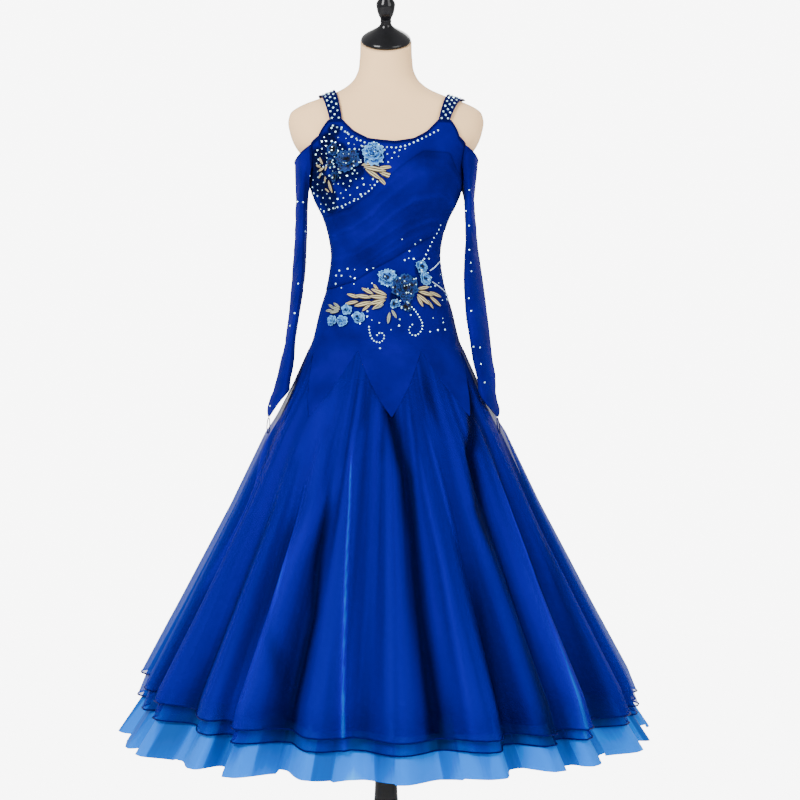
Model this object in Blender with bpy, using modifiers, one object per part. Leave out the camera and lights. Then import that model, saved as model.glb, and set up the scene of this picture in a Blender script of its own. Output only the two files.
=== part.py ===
"""Ballroom dance dress on a limbless dress form. Metres, +Z up, front towards -Y, floor at Z = 0."""

import math
from collections import namedtuple
from functools import cache

import bmesh
import bpy
import numpy as np
from mathutils import Vector
from mathutils.bvhtree import BVHTree

# Driving dimensions of the cloth
WALL = 0.0015            # cloth thickness in the solids
EASE = 0.0042            # clearance between the form and the dress
SEAM = 0.0003            # gap between pieces that are sewn edge to edge
POINT_SEAM = 0.0010      # upright gap along the steep edges of the bodice's points
LAY = 0.0010             # gap between a panel and what lies on it
SASH_LAY = 0.0032        # the same under the draped panel, whose facets are coarser
PLATE_LAY = 0.0020       # and under the applique
REACH = 0.05             # how far outside the bodice a laid point is looked for
DRESS_TURN = 3.0         # degrees that the dress sits turned on the form
HIP = 1.050              # height where the skirt leaves the body
HIP_BLEND = 0.03         # over which the bodice turns from the body's shape to the skirt's
SKIRT_SQUARE = 2.05      # roundness of the skirt's sections, 2 for an ellipse

# Points of the bodice's lower edge, every 45 degrees
POINT_PITCH = 45.0
POINT_TOP = 1.020
POINT_TIP = 0.885
COLUMNS_A_POINT = 12
COLUMNS_KEPT = (0, 2, 4, 5)  # of every six, so that two stand at each point and notch
BODICE_STATIONS = (0.0, 0.06, 0.12, 0.18, 0.24, 0.30, 0.37, 0.44, 0.51, 0.58, 0.66, 0.75, 0.87, 1.0)

# Flutes of the skirts
FOLD_PITCH = 15.0
FOLD_COLUMNS = 4         # two on the crest and two in the hollow
FLUTE = 0.024            # flute height at a fold of 1.0, near the hem
SKIRT_LEVELS = (0.86, 0.70, 0.54, 0.40)
UNDER_TOP = 0.985
LINING_TOP = 0.975
LINING_HEM = 0.380
LINING_BANDS = 4
LINING_COLUMNS = 20      # in each half
FLOUNCE_LEVELS = (0.388, 0.36, 0.30, 0.225)

# Form and stand
TORSO_SIDES = 28
CAP_STEPS, POLE_STEPS, BASE_STEPS = 20, 12, 28
CAP_REST = 0.0060        # depth of the cap's rim below its own zero
BASE_RADIUS = 0.175
POLE_TOP = 0.8697
CAP_TILT = 30.0
NECK_TOP = 1.665
NECK_ROOT = 1.600

Material = namedtuple("Material", "colour roughness metallic")
BLUE_JERSEY = Material((0.004, 0.014, 0.27), 0.65, 0.0)
BLUE_ORGANZA = Material((0.006, 0.035, 0.42), 0.45, 0.0)
BLUE_LINING = Material((0.003, 0.016, 0.30), 0.55, 0.0)
PALE_FLOUNCE = Material((0.07, 0.45, 0.86), 0.45, 0.0)
CREAM_LINEN = Material((0.76, 0.63, 0.51), 0.80, 0.0)
BLACK_GLOSS = Material((0.006, 0.006, 0.006), 0.18, 0.0)
LIGHT_PETAL = Material((0.20, 0.50, 0.85), 0.50, 0.0)
DARK_PETAL = Material((0.01, 0.03, 0.16), 0.50, 0.0)
GOLD_LEAF = Material((0.55, 0.42, 0.25), 0.50, 0.2)

BodyRow = namedtuple("BodyRow", "z half_width front back square")
BODY = (
    BodyRow(0.870, 0.1400, 0.100, 0.112, 2.1),
    BodyRow(0.940, 0.1490, 0.108, 0.122, 2.1),
    BodyRow(1.020, 0.1520, 0.112, 0.124, 2.1),
    BodyRow(1.063, 0.1425, 0.108, 0.115, 2.2),
    BodyRow(1.105, 0.1325, 0.101, 0.102, 2.2),
    BodyRow(1.147, 0.1195, 0.093, 0.090, 2.2),
    BodyRow(1.189, 0.1115, 0.087, 0.083, 2.2),
    BodyRow(1.215, 0.1090, 0.085, 0.081, 2.2),
    BodyRow(1.252, 0.1130, 0.088, 0.085, 2.2),
    BodyRow(1.294, 0.1245, 0.094, 0.093, 2.2),
    BodyRow(1.336, 0.1450, 0.102, 0.102, 2.3),
    BodyRow(1.372, 0.1565, 0.107, 0.108, 2.4),
    BodyRow(1.400, 0.1600, 0.106, 0.111, 2.5),
    BodyRow(1.425, 0.1740, 0.102, 0.111, 2.5),
    BodyRow(1.445, 0.1890, 0.097, 0.109, 2.5),
    BodyRow(1.475, 0.2010, 0.086, 0.102, 2.5),
    BodyRow(1.504, 0.2035, 0.073, 0.090, 2.4),
    BodyRow(1.520, 0.1960, 0.065, 0.082, 2.3),
    BodyRow(1.535, 0.1700, 0.059, 0.076, 2.2),
    BodyRow(1.550, 0.1280, 0.055, 0.071, 2.1),
    BodyRow(1.565, 0.0930, 0.053, 0.068, 2.0),
    BodyRow(1.580, 0.0725, 0.052, 0.065, 2.0),
    BodyRow(1.600, 0.0600, 0.052, 0.060, 2.0),
    BodyRow(1.630, 0.0550, 0.052, 0.056, 2.0),
    BodyRow(1.665, 0.0536, 0.053, 0.054, 2.0),
)
BUST_RISE = 0.018        # of the dress, whose cups stand off the form
FORM_BUST_RISE = 0.015   # of the form itself
BUST_SIDE = 0.072
BUST_HEIGHT = 1.362
BUST_SPREAD = (0.042, 0.050)

# Outward flare of the skirts past the hip, and the share of the flute height, at each height
FlareRow = namedtuple("FlareRow", "z top lining flutes")
FLARE = (
    FlareRow(0.225, 0.390, 0.358, 1.10),
    FlareRow(0.300, 0.358, 0.318, 0.95),
    FlareRow(0.350, 0.339, 0.292, 0.90),
    FlareRow(0.380, 0.324, 0.276, 0.84),
    FlareRow(0.500, 0.263, 0.208, 0.65),
    FlareRow(0.700, 0.164, 0.120, 0.35),
    FlareRow(0.850, 0.098, 0.066, 0.08),
    FlareRow(0.880, 0.0805, 0.058, 0.0),
    FlareRow(0.950, 0.0445, 0.034, 0.0),
    FlareRow(1.000, 0.022, 0.018, 0.0),
    FlareRow(1.020, 0.013, 0.010, 0.0),
    FlareRow(HIP, 0.0, 0.0, 0.0),
)
FlounceRow = namedtuple("FlounceRow", "z flare flutes")
FLOUNCE = (
    FlounceRow(0.225, 0.381, 1.00),
    FlounceRow(0.300, 0.331, 0.95),
    FlounceRow(0.360, 0.306, 0.72),
    FlounceRow(0.388, 0.2785, 0.0),
)
UNDER_GAP_TOP = 0.0034   # outer face to outer face, where the under skirt is sewn in
UNDER_GAP = 0.0112       # the same from the bodice's points down

# Lower edges of the two organza skirts, round the dress from its centre front
HemRow = namedtuple("HemRow", "angle top under")
HEMS = (
    HemRow(-180, 0.300, 0.283),
    HemRow(-90, 0.350, 0.303),
    HemRow(-45, 0.315, 0.288),
    HemRow(0, 0.295, 0.272),
    HemRow(45, 0.292, 0.273),
    HemRow(90, 0.300, 0.283),
    HemRow(180, 0.300, 0.283),
)

# One row for each flute, from the centre front towards +X:
# degrees that it leans at the hem, its height, and the depth of the hollow after it
Fold = namedtuple("Fold", "lean crest valley")
FOLDS = (
    Fold(0, 0.8, 0.8), Fold(4, 1.0, 1.3), Fold(3, 1.1, 0.7), Fold(-1, 0.8, 1.0),
    Fold(2, 1.0, 0.8), Fold(-2, 0.9, 1.0), Fold(0, 1.0, 0.8), Fold(3, 0.9, 1.2),
    Fold(-2, 1.1, 0.8), Fold(2, 0.8, 1.0), Fold(-3, 1.0, 0.9), Fold(3, 0.9, 1.2),
    Fold(0, 1.1, 0.8), Fold(-3, 0.9, 1.0), Fold(2, 1.0, 1.1), Fold(-2, 0.8, 0.8),
    Fold(3, 1.1, 1.0), Fold(-2, 0.9, 0.9), Fold(0, 1.0, 0.8), Fold(2, 0.9, 1.0),
    Fold(-3, 1.0, 0.8), Fold(1, 0.8, 1.0), Fold(-4, 1.1, 1.3), Fold(-2, 0.9, 0.8),
)
SIDE_FOLD = 6            # folds from the centre front to a side seam

# Upper edges of the bodice, from its centre front or back towards a side seam
EdgeRow = namedtuple("EdgeRow", "angle front back")
TOP_EDGE = (
    EdgeRow(0, 1.444, 1.415),
    EdgeRow(10, 1.450, 1.422),
    EdgeRow(17, 1.465, 1.445),
    EdgeRow(24, 1.490, 1.478),
    EdgeRow(33, 1.490, 1.478),
    EdgeRow(42, 1.458, 1.455),
    EdgeRow(51, 1.446, 1.435),
    EdgeRow(65, 1.405, 1.402),
    EdgeRow(78, 1.382, 1.382),
    EdgeRow(90, 1.372, 1.372),
)
STRAP_EDGES = (24.375, 31.875)
STRAP_RISE = 0.0015      # the strap's ends stand this far above the panels' edges
STRAP_BANDS = 6          # bands on each side of the shoulder's ridge
STRAP_ACROSS = 3
SHOULDER_WIDEST = 1.504
RIDGE_SIDE = 0.136       # strap's middle on the shoulder's ridge, from the dress's middle
RIDGE_WIDTH = 0.030
RIDGE_SHIFT = 0.0122     # to the dress's left on the form
RIDGE_FINE = 1e-7

# Draped panel: lower and upper edge at each angle from the dress's centre front
SashRow = namedtuple("SashRow", "angle lower upper")
SASH = (
    SashRow(-88, 1.145, 1.298),
    SashRow(-60, 1.147, 1.302),
    SashRow(-33, 1.160, 1.314),
    SashRow(-13, 1.185, 1.340),
    SashRow(2, 1.205, 1.385),
    SashRow(18, 1.227, 1.425),
    SashRow(40, 1.248, 1.425),
    SashRow(60, 1.262, 1.388),
    SashRow(88, 1.276, 1.350),
)
SASH_FOLDS = (  # height of the drape at even steps from the upper edge to the lower
    0.0, 0.0020, 0.0004, 0.0024, 0.0006, 0.0024, 0.0006, 0.0020, 0.0,
)
SASH_COLUMNS = 23
SASH_FADE = 20.0         # degrees over which the drape flattens at each side seam

# Sleeves: middle of the section and half its front-to-back depth,
# then its place to the side, half thickness and turn on each side
SleeveRow = namedtuple("SleeveRow", "z y deep left_x left_thick left_turn right_x right_thick right_turn")
SLEEVES = (
    SleeveRow(0.880, -0.060, 0.018, 0.2375, 0.0050, 20, 0.2274, 0.0050, 24),
    SleeveRow(0.895, -0.058, 0.028, 0.2345, 0.0070, 20, 0.2234, 0.0070, 24),
    SleeveRow(0.916, -0.054, 0.036, 0.2280, 0.0110, 20, 0.2155, 0.0095, 24),
    SleeveRow(0.937, -0.050, 0.040, 0.2180, 0.0140, 18, 0.2105, 0.0120, 24),
    SleeveRow(0.958, -0.045, 0.042, 0.2125, 0.0145, 12, 0.2095, 0.0135, 24),
    SleeveRow(1.000, -0.035, 0.045, 0.2048, 0.0135, 10, 0.2017, 0.0150, 23),
    SleeveRow(1.042, -0.027, 0.048, 0.1996, 0.0110, 8, 0.1965, 0.0150, 23),
    SleeveRow(1.084, -0.020, 0.052, 0.1933, 0.0110, 7, 0.1910, 0.0160, 22),
    SleeveRow(1.168, -0.010, 0.058, 0.1838, 0.0135, 8, 0.1830, 0.0155, 16),
    SleeveRow(1.252, -0.004, 0.060, 0.1787, 0.0135, 5, 0.1787, 0.0125, 7),
    SleeveRow(1.336, 0.000, 0.062, 0.1765, 0.0135, 5, 0.1755, 0.0110, 4),
    SleeveRow(1.450, 0.000, 0.064, 0.1765, 0.0135, 5, 0.1755, 0.0110, 4),
)
SLEEVE_SIDES = 14
SLEEVE_STATIONS = (0.0, 0.04, 0.10, 0.19, 0.32, 0.46, 0.60, 0.72, 0.82, 0.90, 0.95, 1.0)
SLEEVE_SETTLE = 0.16     # share of the length over which the armhole's shape fades
SLEEVE_OUTSIDE = 0.191   # outermost point of the open shoulder edge
SLEEVE_DIP = 0.014
ARMHOLE_FRONT = 51.0     # degrees from the centre front where the sleeve leaves the panel
ARMHOLE_LAP = 0.003      # how far the sleeve's root laps over the bodice
SLEEVE_CLEAR = 0.006     # least gap between the bodice and the sleeve below its root
CUFF_INNER = 0.943
CUFF_TIP = 0.883
CUFF_POINT = 1.3         # sharpness of the cuff's point
LOOP_SIDES = 12
LOOP_DROP = 2.5          # wire radii from the cuff's point to the middle of the loop's top
LOOP_SPREAD = (0.3, 0.5)
LOOP_WIRE = 0.0012
LoopRow = namedtuple("LoopRow", "side top_x top_y low_x low_y low_z width")
LOOPS = (
    LoopRow("left", -0.2420, -0.0600, -0.2430, -0.0740, 0.849, 0.008),
    LoopRow("right", 0.2310, -0.0600, 0.2340, -0.0850, 0.849, 0.008),
)

# Applique: place on the front, half length, half width, turn, lobes and depth of the notches between them
Plate = namedtuple("Plate", "name x z along across turn lobes notch material")
PLATES = (
    Plate("flower_bust_light", -0.026, 1.4180, 0.023, 0.021, 10, 5, 0.22, LIGHT_PETAL),
    Plate("flower_bust_dark", -0.073, 1.4040, 0.021, 0.019, 40, 5, 0.22, DARK_PETAL),
    Plate("flower_bust_side", -0.105, 1.4300, 0.013, 0.012, 0, 4, 0.22, LIGHT_PETAL),
    Plate("spray_bust", -0.016, 1.3840, 0.029, 0.012, 8, 6, 0.36, GOLD_LEAF),
    Plate("spray_bust_side", -0.122, 1.3830, 0.017, 0.011, 60, 5, 0.36, GOLD_LEAF),
    Plate("flower_hip_dark", 0.040, 1.1480, 0.024, 0.021, 20, 5, 0.22, DARK_PETAL),
    Plate("flower_hip_left", 0.001, 1.1660, 0.016, 0.015, 0, 5, 0.22, LIGHT_PETAL),
    Plate("flower_hip_right", 0.077, 1.1780, 0.015, 0.014, 30, 5, 0.22, LIGHT_PETAL),
    Plate("spray_hip_left", -0.038, 1.1230, 0.034, 0.014, 12, 6, 0.36, GOLD_LEAF),
    Plate("spray_hip_right", 0.094, 1.1330, 0.027, 0.013, -28, 6, 0.36, GOLD_LEAF),
    Plate("flower_hip_roses", -0.088, 1.0820, 0.034, 0.011, 3, 6, 0.25, LIGHT_PETAL),
)
LOBE_POINTS = 3

# Turned profiles, radius and height from the top of each outer side down
CAP_PROFILE = (
    (0.0, 0.1290), (0.0070, 0.1255), (0.0095, 0.1190), (0.0062, 0.1090), (0.0090, 0.0970),
    (0.0138, 0.0880), (0.0203, 0.0775), (0.0195, 0.0700), (0.0170, 0.0560), (0.0105, 0.0430),
    (0.0122, 0.0385), (0.0105, 0.0345), (0.0160, 0.0260), (0.0300, 0.0170), (0.0460, 0.0075),
    (0.0534, -0.0005), (0.0505, -0.0060), (0.0, -0.0060),
)
POLE_PROFILE = (
    (0.0, POLE_TOP), (0.020, POLE_TOP), (0.020, 0.200), (0.026, 0.186), (0.0290, 0.174),
    (0.0235, 0.160), (0.0235, 0.090), (0.0270, 0.0603), (0.0, 0.0603),
)
BASE_PROFILE = (
    (0.0, 0.060), (0.038, 0.060), (0.046, 0.048), (0.052, 0.028), (0.165, 0.018),
    (BASE_RADIUS, 0.012), (BASE_RADIUS, 0.0), (0.0, 0.0),
)


class Curve:
    """Smooth curve through one column of a table whose first column is its height."""

    def __init__(self, rows, column):
        self.keys = np.array([row[0] for row in rows], dtype=float)
        self.values = np.array([getattr(row, column) for row in rows], dtype=float)
        self.slopes = np.gradient(self.values, self.keys)

    def __call__(self, at):
        k = int(np.clip(np.searchsorted(self.keys, at) - 1, 0, len(self.keys) - 2))
        span = self.keys[k + 1] - self.keys[k]
        f = min(max((at - self.keys[k]) / span, 0.0), 1.0)
        rise = 3 * f * f - 2 * f ** 3
        start = span * self.slopes[k] * (f ** 3 - 2 * f * f + f)
        end = span * self.slopes[k + 1] * (f ** 3 - f * f)
        return float(self.values[k] * (1 - rise) + self.values[k + 1] * rise + start + end)


body = {name: Curve(BODY, name) for name in BodyRow._fields[1:]}
sleeve = {name: Curve(SLEEVES, name) for name in SleeveRow._fields[1:]}


def between(rows, column, at):
    """Straight-line value of a table's column."""
    return float(np.interp(at, [row[0] for row in rows], [getattr(row, column) for row in rows]))


def section(angle, half_width, front, back, square):
    """Point of a rounded section; 0 degrees is the front and 90 the +X side."""
    sine = math.sin(math.radians(angle))
    cosine = math.cos(math.radians(angle))
    power = 2.0 / square
    depth = front if cosine > 0 else back
    return (
        half_width * math.copysign(abs(sine) ** power, sine),
        -depth * math.copysign(abs(cosine) ** power, cosine),
    )


def form_point(angle, z, bust=BUST_RISE):
    """Point of the dress form's surface."""
    x, y = section(angle, body["half_width"](z), body["front"](z), body["back"](z), body["square"](z))
    if y < 0:
        side = (abs(x) - BUST_SIDE) / BUST_SPREAD[0]
        height = (z - BUST_HEIGHT) / BUST_SPREAD[1]
        y -= bust * math.exp(-side * side - height * height)
    return np.array((x, y, z))


def moved_out(surface, angle, z, distance):
    """Point of a surface moved out along its normal."""
    turn, rise = 0.5, 0.002
    across = surface(angle + turn, z) - surface(angle - turn, z)
    up = surface(angle, z + rise) - surface(angle, z - rise)
    normal = np.cross(across, up)
    return surface(angle, z) + normal * (distance / np.linalg.norm(normal))


def bodice_point(angle, z, lift=0.0):
    """Outer face of the fitted dress, at an angle from its own centre front."""
    return moved_out(form_point, angle + DRESS_TURN, z, EASE + WALL + lift)


@cache
def hip_size():
    """Half width, front and back of the dress at the hip."""
    return [abs(bodice_point(turn - DRESS_TURN, HIP)[axis]) for turn, axis in ((90, 0), (0, 1), (180, 1))]


def skirt_point(angle, z, flare, swell=0.0):
    """Outer face of a skirt: the hip's section, flared out, with a flute's swell."""
    half_width, front, back = hip_size()
    x, y = section(angle + DRESS_TURN, half_width + flare, front + flare, back + flare, SKIRT_SQUARE)
    turn = math.radians(angle + DRESS_TURN)
    return np.array((x + swell * math.sin(turn), y - swell * math.cos(turn), z))


def dress_point(angle, z, lift=0.0):
    """Outer face of the bodice, body above the hip and flared like the skirt below it."""
    if z >= HIP:
        return bodice_point(angle, z, lift)
    body_share = min(1.0, max(0.0, (z - HIP + HIP_BLEND) / HIP_BLEND))
    flared = skirt_point(angle, z, between(FLARE, "top", z) + lift)
    return bodice_point(angle, z, lift) * body_share + flared * (1.0 - body_share)


def point_edge(angle):
    """Height of the bodice's pointed lower edge."""
    share = abs(((angle / POINT_PITCH) + 0.5) % 1.0 - 0.5) * 2.0
    return POINT_TIP + (POINT_TOP - POINT_TIP) * share


def finish_material(obj, material):
    """Give the object a material of its own."""
    made = bpy.data.materials.new(obj.name)
    made.use_nodes = True
    shader = made.node_tree.nodes["Principled BSDF"]
    shader.inputs["Base Color"].default_value = (*material.colour, 1.0)
    shader.inputs["Roughness"].default_value = material.roughness
    shader.inputs["Metallic"].default_value = material.metallic
    obj.data.materials.append(made)


def add_mesh(name, mesh, material, smooth_angle=60.0):
    """Link a mesh as one named piece."""
    obj = bpy.data.objects.new(name, mesh)
    dress_parts.objects.link(obj)
    mesh.shade_smooth()
    mesh.set_sharp_from_angle(angle=math.radians(smooth_angle))
    finish_material(obj, material)
    return obj


def cloth(name, grid, material, ring=False):
    """Cloth wall on a grid of outer points: lines run round the body, top line first."""
    points = [point for line in grid for point in line]
    sheet(name, points, grid_faces(len(grid), len(grid[0]), ring), material)


def sheet(name, points, faces, material):
    """Open sheet, thickened to the cloth's wall towards its inner side."""
    mesh = bpy.data.meshes.new(name)
    mesh.from_pydata([tuple(point) for point in points], [], faces)
    obj = add_mesh(name, mesh, material)
    wall = obj.modifiers.new("Wall", "SOLIDIFY")
    wall.thickness = WALL
    wall.offset = -1.0
    wall.use_even_offset = True
    wall.use_quality_normals = True


def part_seams(grid):
    """Draw the two side edges of a panel in by half a seam gap."""
    for line in grid:
        for end, inner in ((0, 1), (-1, -2)):
            along = line[inner] - line[end]
            line[end] = line[end] + along * (0.5 * SEAM / np.linalg.norm(along))
    return grid


def panel_grid(angles, top, bottom, surface):
    """Grid of a fitted panel between a top and a bottom edge."""
    grid = []
    for share in BODICE_STATIONS:
        grid.append([surface(a, top(a) + (bottom(a) - top(a)) * share) for a in angles])
    return part_seams(grid)


def bodice_angles():
    """Angles of the bodice's columns: two at each point and notch, fewer between them."""
    pitch = FOLD_PITCH / FOLD_COLUMNS
    kept = [pitch * (k + 0.5) for k in range(2 * COLUMNS_A_POINT) if k % 6 in COLUMNS_KEPT]
    half = kept + [90.0]
    return [-a for a in reversed(half)] + half


def grid_faces(lines, count, ring=False):
    """Triangles of a grid, each square cut the same way."""
    faces = []
    for line in range(lines - 1):
        for i in range(count if ring else count - 1):
            upper, lower, j = line * count, (line + 1) * count, (i + 1) % count
            faces.append((upper + i, lower + i, lower + j))
            faces.append((upper + i, lower + j, upper + j))
    return faces


def make_bodice():
    """Front and back of the bodice; returns their facets, on which the rest is laid."""
    angles = bodice_angles()
    front = panel_grid(
        angles, lambda a: between(TOP_EDGE, "front", abs(a)), point_edge, dress_point)
    cloth("bodice_front", front, BLUE_JERSEY)
    back = panel_grid(
        angles, lambda a: between(TOP_EDGE, "back", abs(a)), lambda a: point_edge(a + 180),
        lambda a, z: dress_point(a + 180, z))
    cloth("bodice_back", back, BLUE_JERSEY)
    points = [Vector(point) for grid in (front, back) for line in grid for point in line]
    faces = grid_faces(len(front), len(angles))
    shift = len(front) * len(angles)
    return BVHTree.FromPolygons(points, faces + [tuple(k + shift for k in face) for face in faces])


def laid_point(bodice, angle, z, lift):
    """Point of the bodice's own facets, moved out."""
    bare = bodice_point(angle, z)
    outward = Vector((bare[0], bare[1], 0.0)).normalized()
    hit = bodice.ray_cast(Vector(bare) + outward * REACH, -outward, 1.5 * REACH)[0]
    return (bare if hit is None else np.array(hit)) + bodice_point(angle, z, lift) - bare


def make_sash(bodice):
    """Draped panel on the front, with its long soft folds along it."""
    angles = np.linspace(SASH[0].angle, SASH[-1].angle, SASH_COLUMNS)
    grid = []
    for step, fold in enumerate(SASH_FOLDS):
        share = step / (len(SASH_FOLDS) - 1)
        line = []
        for angle in angles:
            upper = between(SASH, "upper", angle)
            z = upper + (between(SASH, "lower", angle) - upper) * share
            fade = min(1.0, (SASH[-1].angle - abs(angle)) / SASH_FADE)
            line.append(laid_point(bodice, angle, z, SASH_LAY + WALL + fold * fade))
        grid.append(line)
    cloth("sash", grid, BLUE_JERSEY)


def ridge_height(x):
    """Height of the shoulder's ridge at a distance to the side."""
    low, high = SHOULDER_WIDEST, NECK_ROOT
    while high - low > RIDGE_FINE:
        middle = 0.5 * (low + high)
        low, high = (middle, high) if body["half_width"](middle) > x else (low, middle)
    return low


def side_angle(x, z):
    """Angle from the form's centre front or back at which its surface is this far to the side."""
    share = min(1.0, abs(x) / body["half_width"](z))
    return math.degrees(math.asin(share ** (0.5 * body["square"](z))))


def make_strap(side, sign):
    """Shoulder strap from the front panel over the shoulder to the back panel."""
    climbs = [step / STRAP_BANDS for step in range(STRAP_BANDS + 1)]
    stations = [("front", climb) for climb in climbs] + [("back", climb) for climb in reversed(climbs[:-1])]
    grid = []
    for face, climb in stations:
        line = []
        for k in range(STRAP_ACROSS + 1):
            share = k / STRAP_ACROSS
            angle = STRAP_EDGES[0] + (STRAP_EDGES[1] - STRAP_EDGES[0]) * share
            edge = between(TOP_EDGE, face, angle) + STRAP_RISE
            root = form_point(sign * angle + (DRESS_TURN if face == "front" else -DRESS_TURN), edge)
            ridge = RIDGE_SIDE + RIDGE_WIDTH * (share - 0.5) + sign * RIDGE_SHIFT
            x = abs(root[0]) + (ridge - abs(root[0])) * climb
            z = edge + (ridge_height(x) - edge) * math.sin(0.5 * math.pi * climb)
            turn = side_angle(x, z) if face == "front" else 180 - side_angle(x, z)
            line.append(bodice_point(sign * turn - DRESS_TURN, z))
        grid.append(line)
    if sign > 0:
        grid.reverse()
    cloth("strap_" + side, grid, BLUE_JERSEY)


def sleeve_section(side, sign, turn, z):
    """Point of the hanging sleeve's flattened section; 0 degrees is its outer side."""
    tilt = math.radians(sleeve[side + "_turn"](z))
    outward = np.array((sign * math.cos(tilt), -math.sin(tilt)))
    forward = np.array((-sign * math.sin(tilt), -math.cos(tilt)))
    middle = np.array((sign * sleeve[side + "_x"](z), sleeve["y"](z)))
    thick = sleeve[side + "_thick"](z) * math.cos(turn)
    deep = sleeve["deep"](z) * math.sin(turn)
    return middle + outward * thick + forward * deep


def sleeve_root(bodice, sign, turn):
    """Point of the sleeve's upper edge: along the armhole inside, open over the shoulder outside."""
    def armhole(from_front):
        column, away = ("front", from_front) if from_front <= 90 else ("back", 180 - from_front)
        height = between(TOP_EDGE, column, away) - ARMHOLE_LAP
        return laid_point(bodice, sign * from_front, height, LAY + WALL)

    reach = 90 - ARMHOLE_FRONT
    inward = -math.cos(turn)
    if inward >= 0:
        away = ARMHOLE_FRONT + reach * (1 - math.sqrt(1 - inward * inward))
        return armhole(away if math.sin(turn) >= 0 else 180 - away)
    front, back = armhole(ARMHOLE_FRONT), armhole(180 - ARMHOLE_FRONT)
    share = 0.5 - 0.5 * math.sin(turn)
    edge = front + (back - front) * share
    bulge = SLEEVE_OUTSIDE - 0.5 * abs(front[0] + back[0])
    return edge + np.array((sign * bulge, 0.0, -SLEEVE_DIP)) * math.cos(turn)


def kept_clear(x, y, z):
    """Point moved out from the body's axis where it is too near to the dress on it."""
    away = EASE + WALL + SLEEVE_CLEAR + WALL
    half_width, square = body["half_width"](z) + away, body["square"](z)
    depth = body["front" if y < 0 else "back"](z) + away
    share = ((abs(x) / half_width) ** square + (abs(y) / depth) ** square) ** (1 / square)
    return np.array((x / min(share, 1.0), y / min(share, 1.0), z))


def make_sleeve(bodice, side, sign):
    """Empty sleeve from the armhole to its pointed cuff."""
    turns = [-sign * 2 * math.pi * k / SLEEVE_SIDES for k in range(SLEEVE_SIDES)]
    roots = [sleeve_root(bodice, sign, turn) for turn in turns]
    grid = []
    for share in SLEEVE_STATIONS:
        settle = min(1.0, share / SLEEVE_SETTLE)
        settle = settle * settle * (3 - 2 * settle)
        line = []
        for turn, root in zip(turns, roots):
            cuff = CUFF_INNER - (CUFF_INNER - CUFF_TIP) * (0.5 + 0.5 * math.cos(turn)) ** CUFF_POINT
            z = root[2] + (cuff - root[2]) * share
            x, y = sleeve_section(side, sign, turn, z) * settle + root[:2] * (1 - settle)
            line.append(kept_clear(x, y, z) if share > 0.0 else root)
        grid.append(line)
    cloth("sleeve_" + side, grid, BLUE_JERSEY, ring=True)


def make_loop(row):
    """Elastic finger loop that hangs from the cuff's point."""
    curve = bpy.data.curves.new("finger_loop_" + row.side, "CURVE")
    curve.dimensions = "3D"
    curve.bevel_depth = LOOP_WIRE
    curve.bevel_resolution = 2
    spline = curve.splines.new("POLY")
    spline.points.add(LOOP_SIDES - 1)
    top = np.array((row.top_x, row.top_y, CUFF_TIP - LOOP_DROP * LOOP_WIRE))
    low = np.array((row.low_x, row.low_y, row.low_z))
    for k, point in enumerate(spline.points):
        turn = 2 * math.pi * k / LOOP_SIDES
        x, y, z = top + (low - top) * (0.5 - 0.5 * math.cos(turn))
        open_x, open_y = (row.width * spread * math.sin(turn) for spread in LOOP_SPREAD)
        point.co = (x + open_x, y + open_y, z, 1.0)
    spline.use_cyclic_u = True
    obj = bpy.data.objects.new(curve.name, curve)
    dress_parts.objects.link(obj)
    finish_material(obj, BLUE_JERSEY)


SkirtColumn = namedtuple("SkirtColumn", "angle lean swell")


def skirt_columns(first_fold):
    """Columns of half a skirt, two on each crest and two in each hollow, with one more at each seam."""
    pitch = FOLD_PITCH / FOLD_COLUMNS
    edge = FOLDS[first_fold % len(FOLDS)]
    columns = [SkirtColumn(first_fold * FOLD_PITCH, edge.lean, edge.crest)]
    for n in range(first_fold, first_fold + 2 * SIDE_FOLD + 1):
        fold, after = FOLDS[n % len(FOLDS)], FOLDS[(n + 1) % len(FOLDS)]
        middle = n * FOLD_PITCH
        lean = 0.5 * (fold.lean + after.lean)
        if n > first_fold:
            columns.append(SkirtColumn(middle - 0.5 * pitch, fold.lean, fold.crest))
        if n < first_fold + 2 * SIDE_FOLD:
            columns.append(SkirtColumn(middle + 0.5 * pitch, fold.lean, fold.crest))
            columns.append(SkirtColumn(middle + 1.5 * pitch, lean, -fold.valley))
            columns.append(SkirtColumn(middle + 2.5 * pitch, lean, -fold.valley))
        else:
            columns.append(SkirtColumn(middle, fold.lean, fold.crest))
    return columns


def flute_share(z):
    """How much of a flute's height there is at a height of the skirt."""
    return between(FLARE, "flutes", z)


def leaned(column, z):
    """Angle of a column, which leans more towards the hem."""
    return column.angle + column.lean * min(1.0, flute_share(z))


def under_gap(z):
    """Distance of the under skirt inside the top one."""
    share = min(1.0, max(0.0, (UNDER_TOP - z) / (UNDER_TOP - SKIRT_LEVELS[0])))
    return UNDER_GAP_TOP + (UNDER_GAP - UNDER_GAP_TOP) * share


def organza(name, first_fold, top_edge, hem, gap):
    """Half of an organza skirt in flutes."""
    columns = skirt_columns(first_fold)
    grid = []
    for level in range(len(SKIRT_LEVELS) + 2):
        line = []
        for column in columns:
            if level == 0:
                z = top_edge(column.angle)
            elif level <= len(SKIRT_LEVELS):
                z = SKIRT_LEVELS[level - 1]
            else:
                z = between(HEMS, hem, (column.angle + 180) % 360 - 180)
            swell = FLUTE * flute_share(z) * column.swell
            line.append(skirt_point(leaned(column, z), z, between(FLARE, "top", z) - gap(z), swell))
        grid.append(line)
    cloth(name, part_seams(grid), BLUE_ORGANZA)


def make_organza():
    """Top and under organza skirts, each in a front and a back half."""
    for half, first_fold in (("front", -SIDE_FOLD), ("back", SIDE_FOLD)):
        organza("skirt_top_" + half, first_fold, lambda a: point_edge(a) - POINT_SEAM, "top", lambda z: 0.0)
        organza("skirt_under_" + half, first_fold, lambda a: UNDER_TOP, "under", under_gap)


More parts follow.
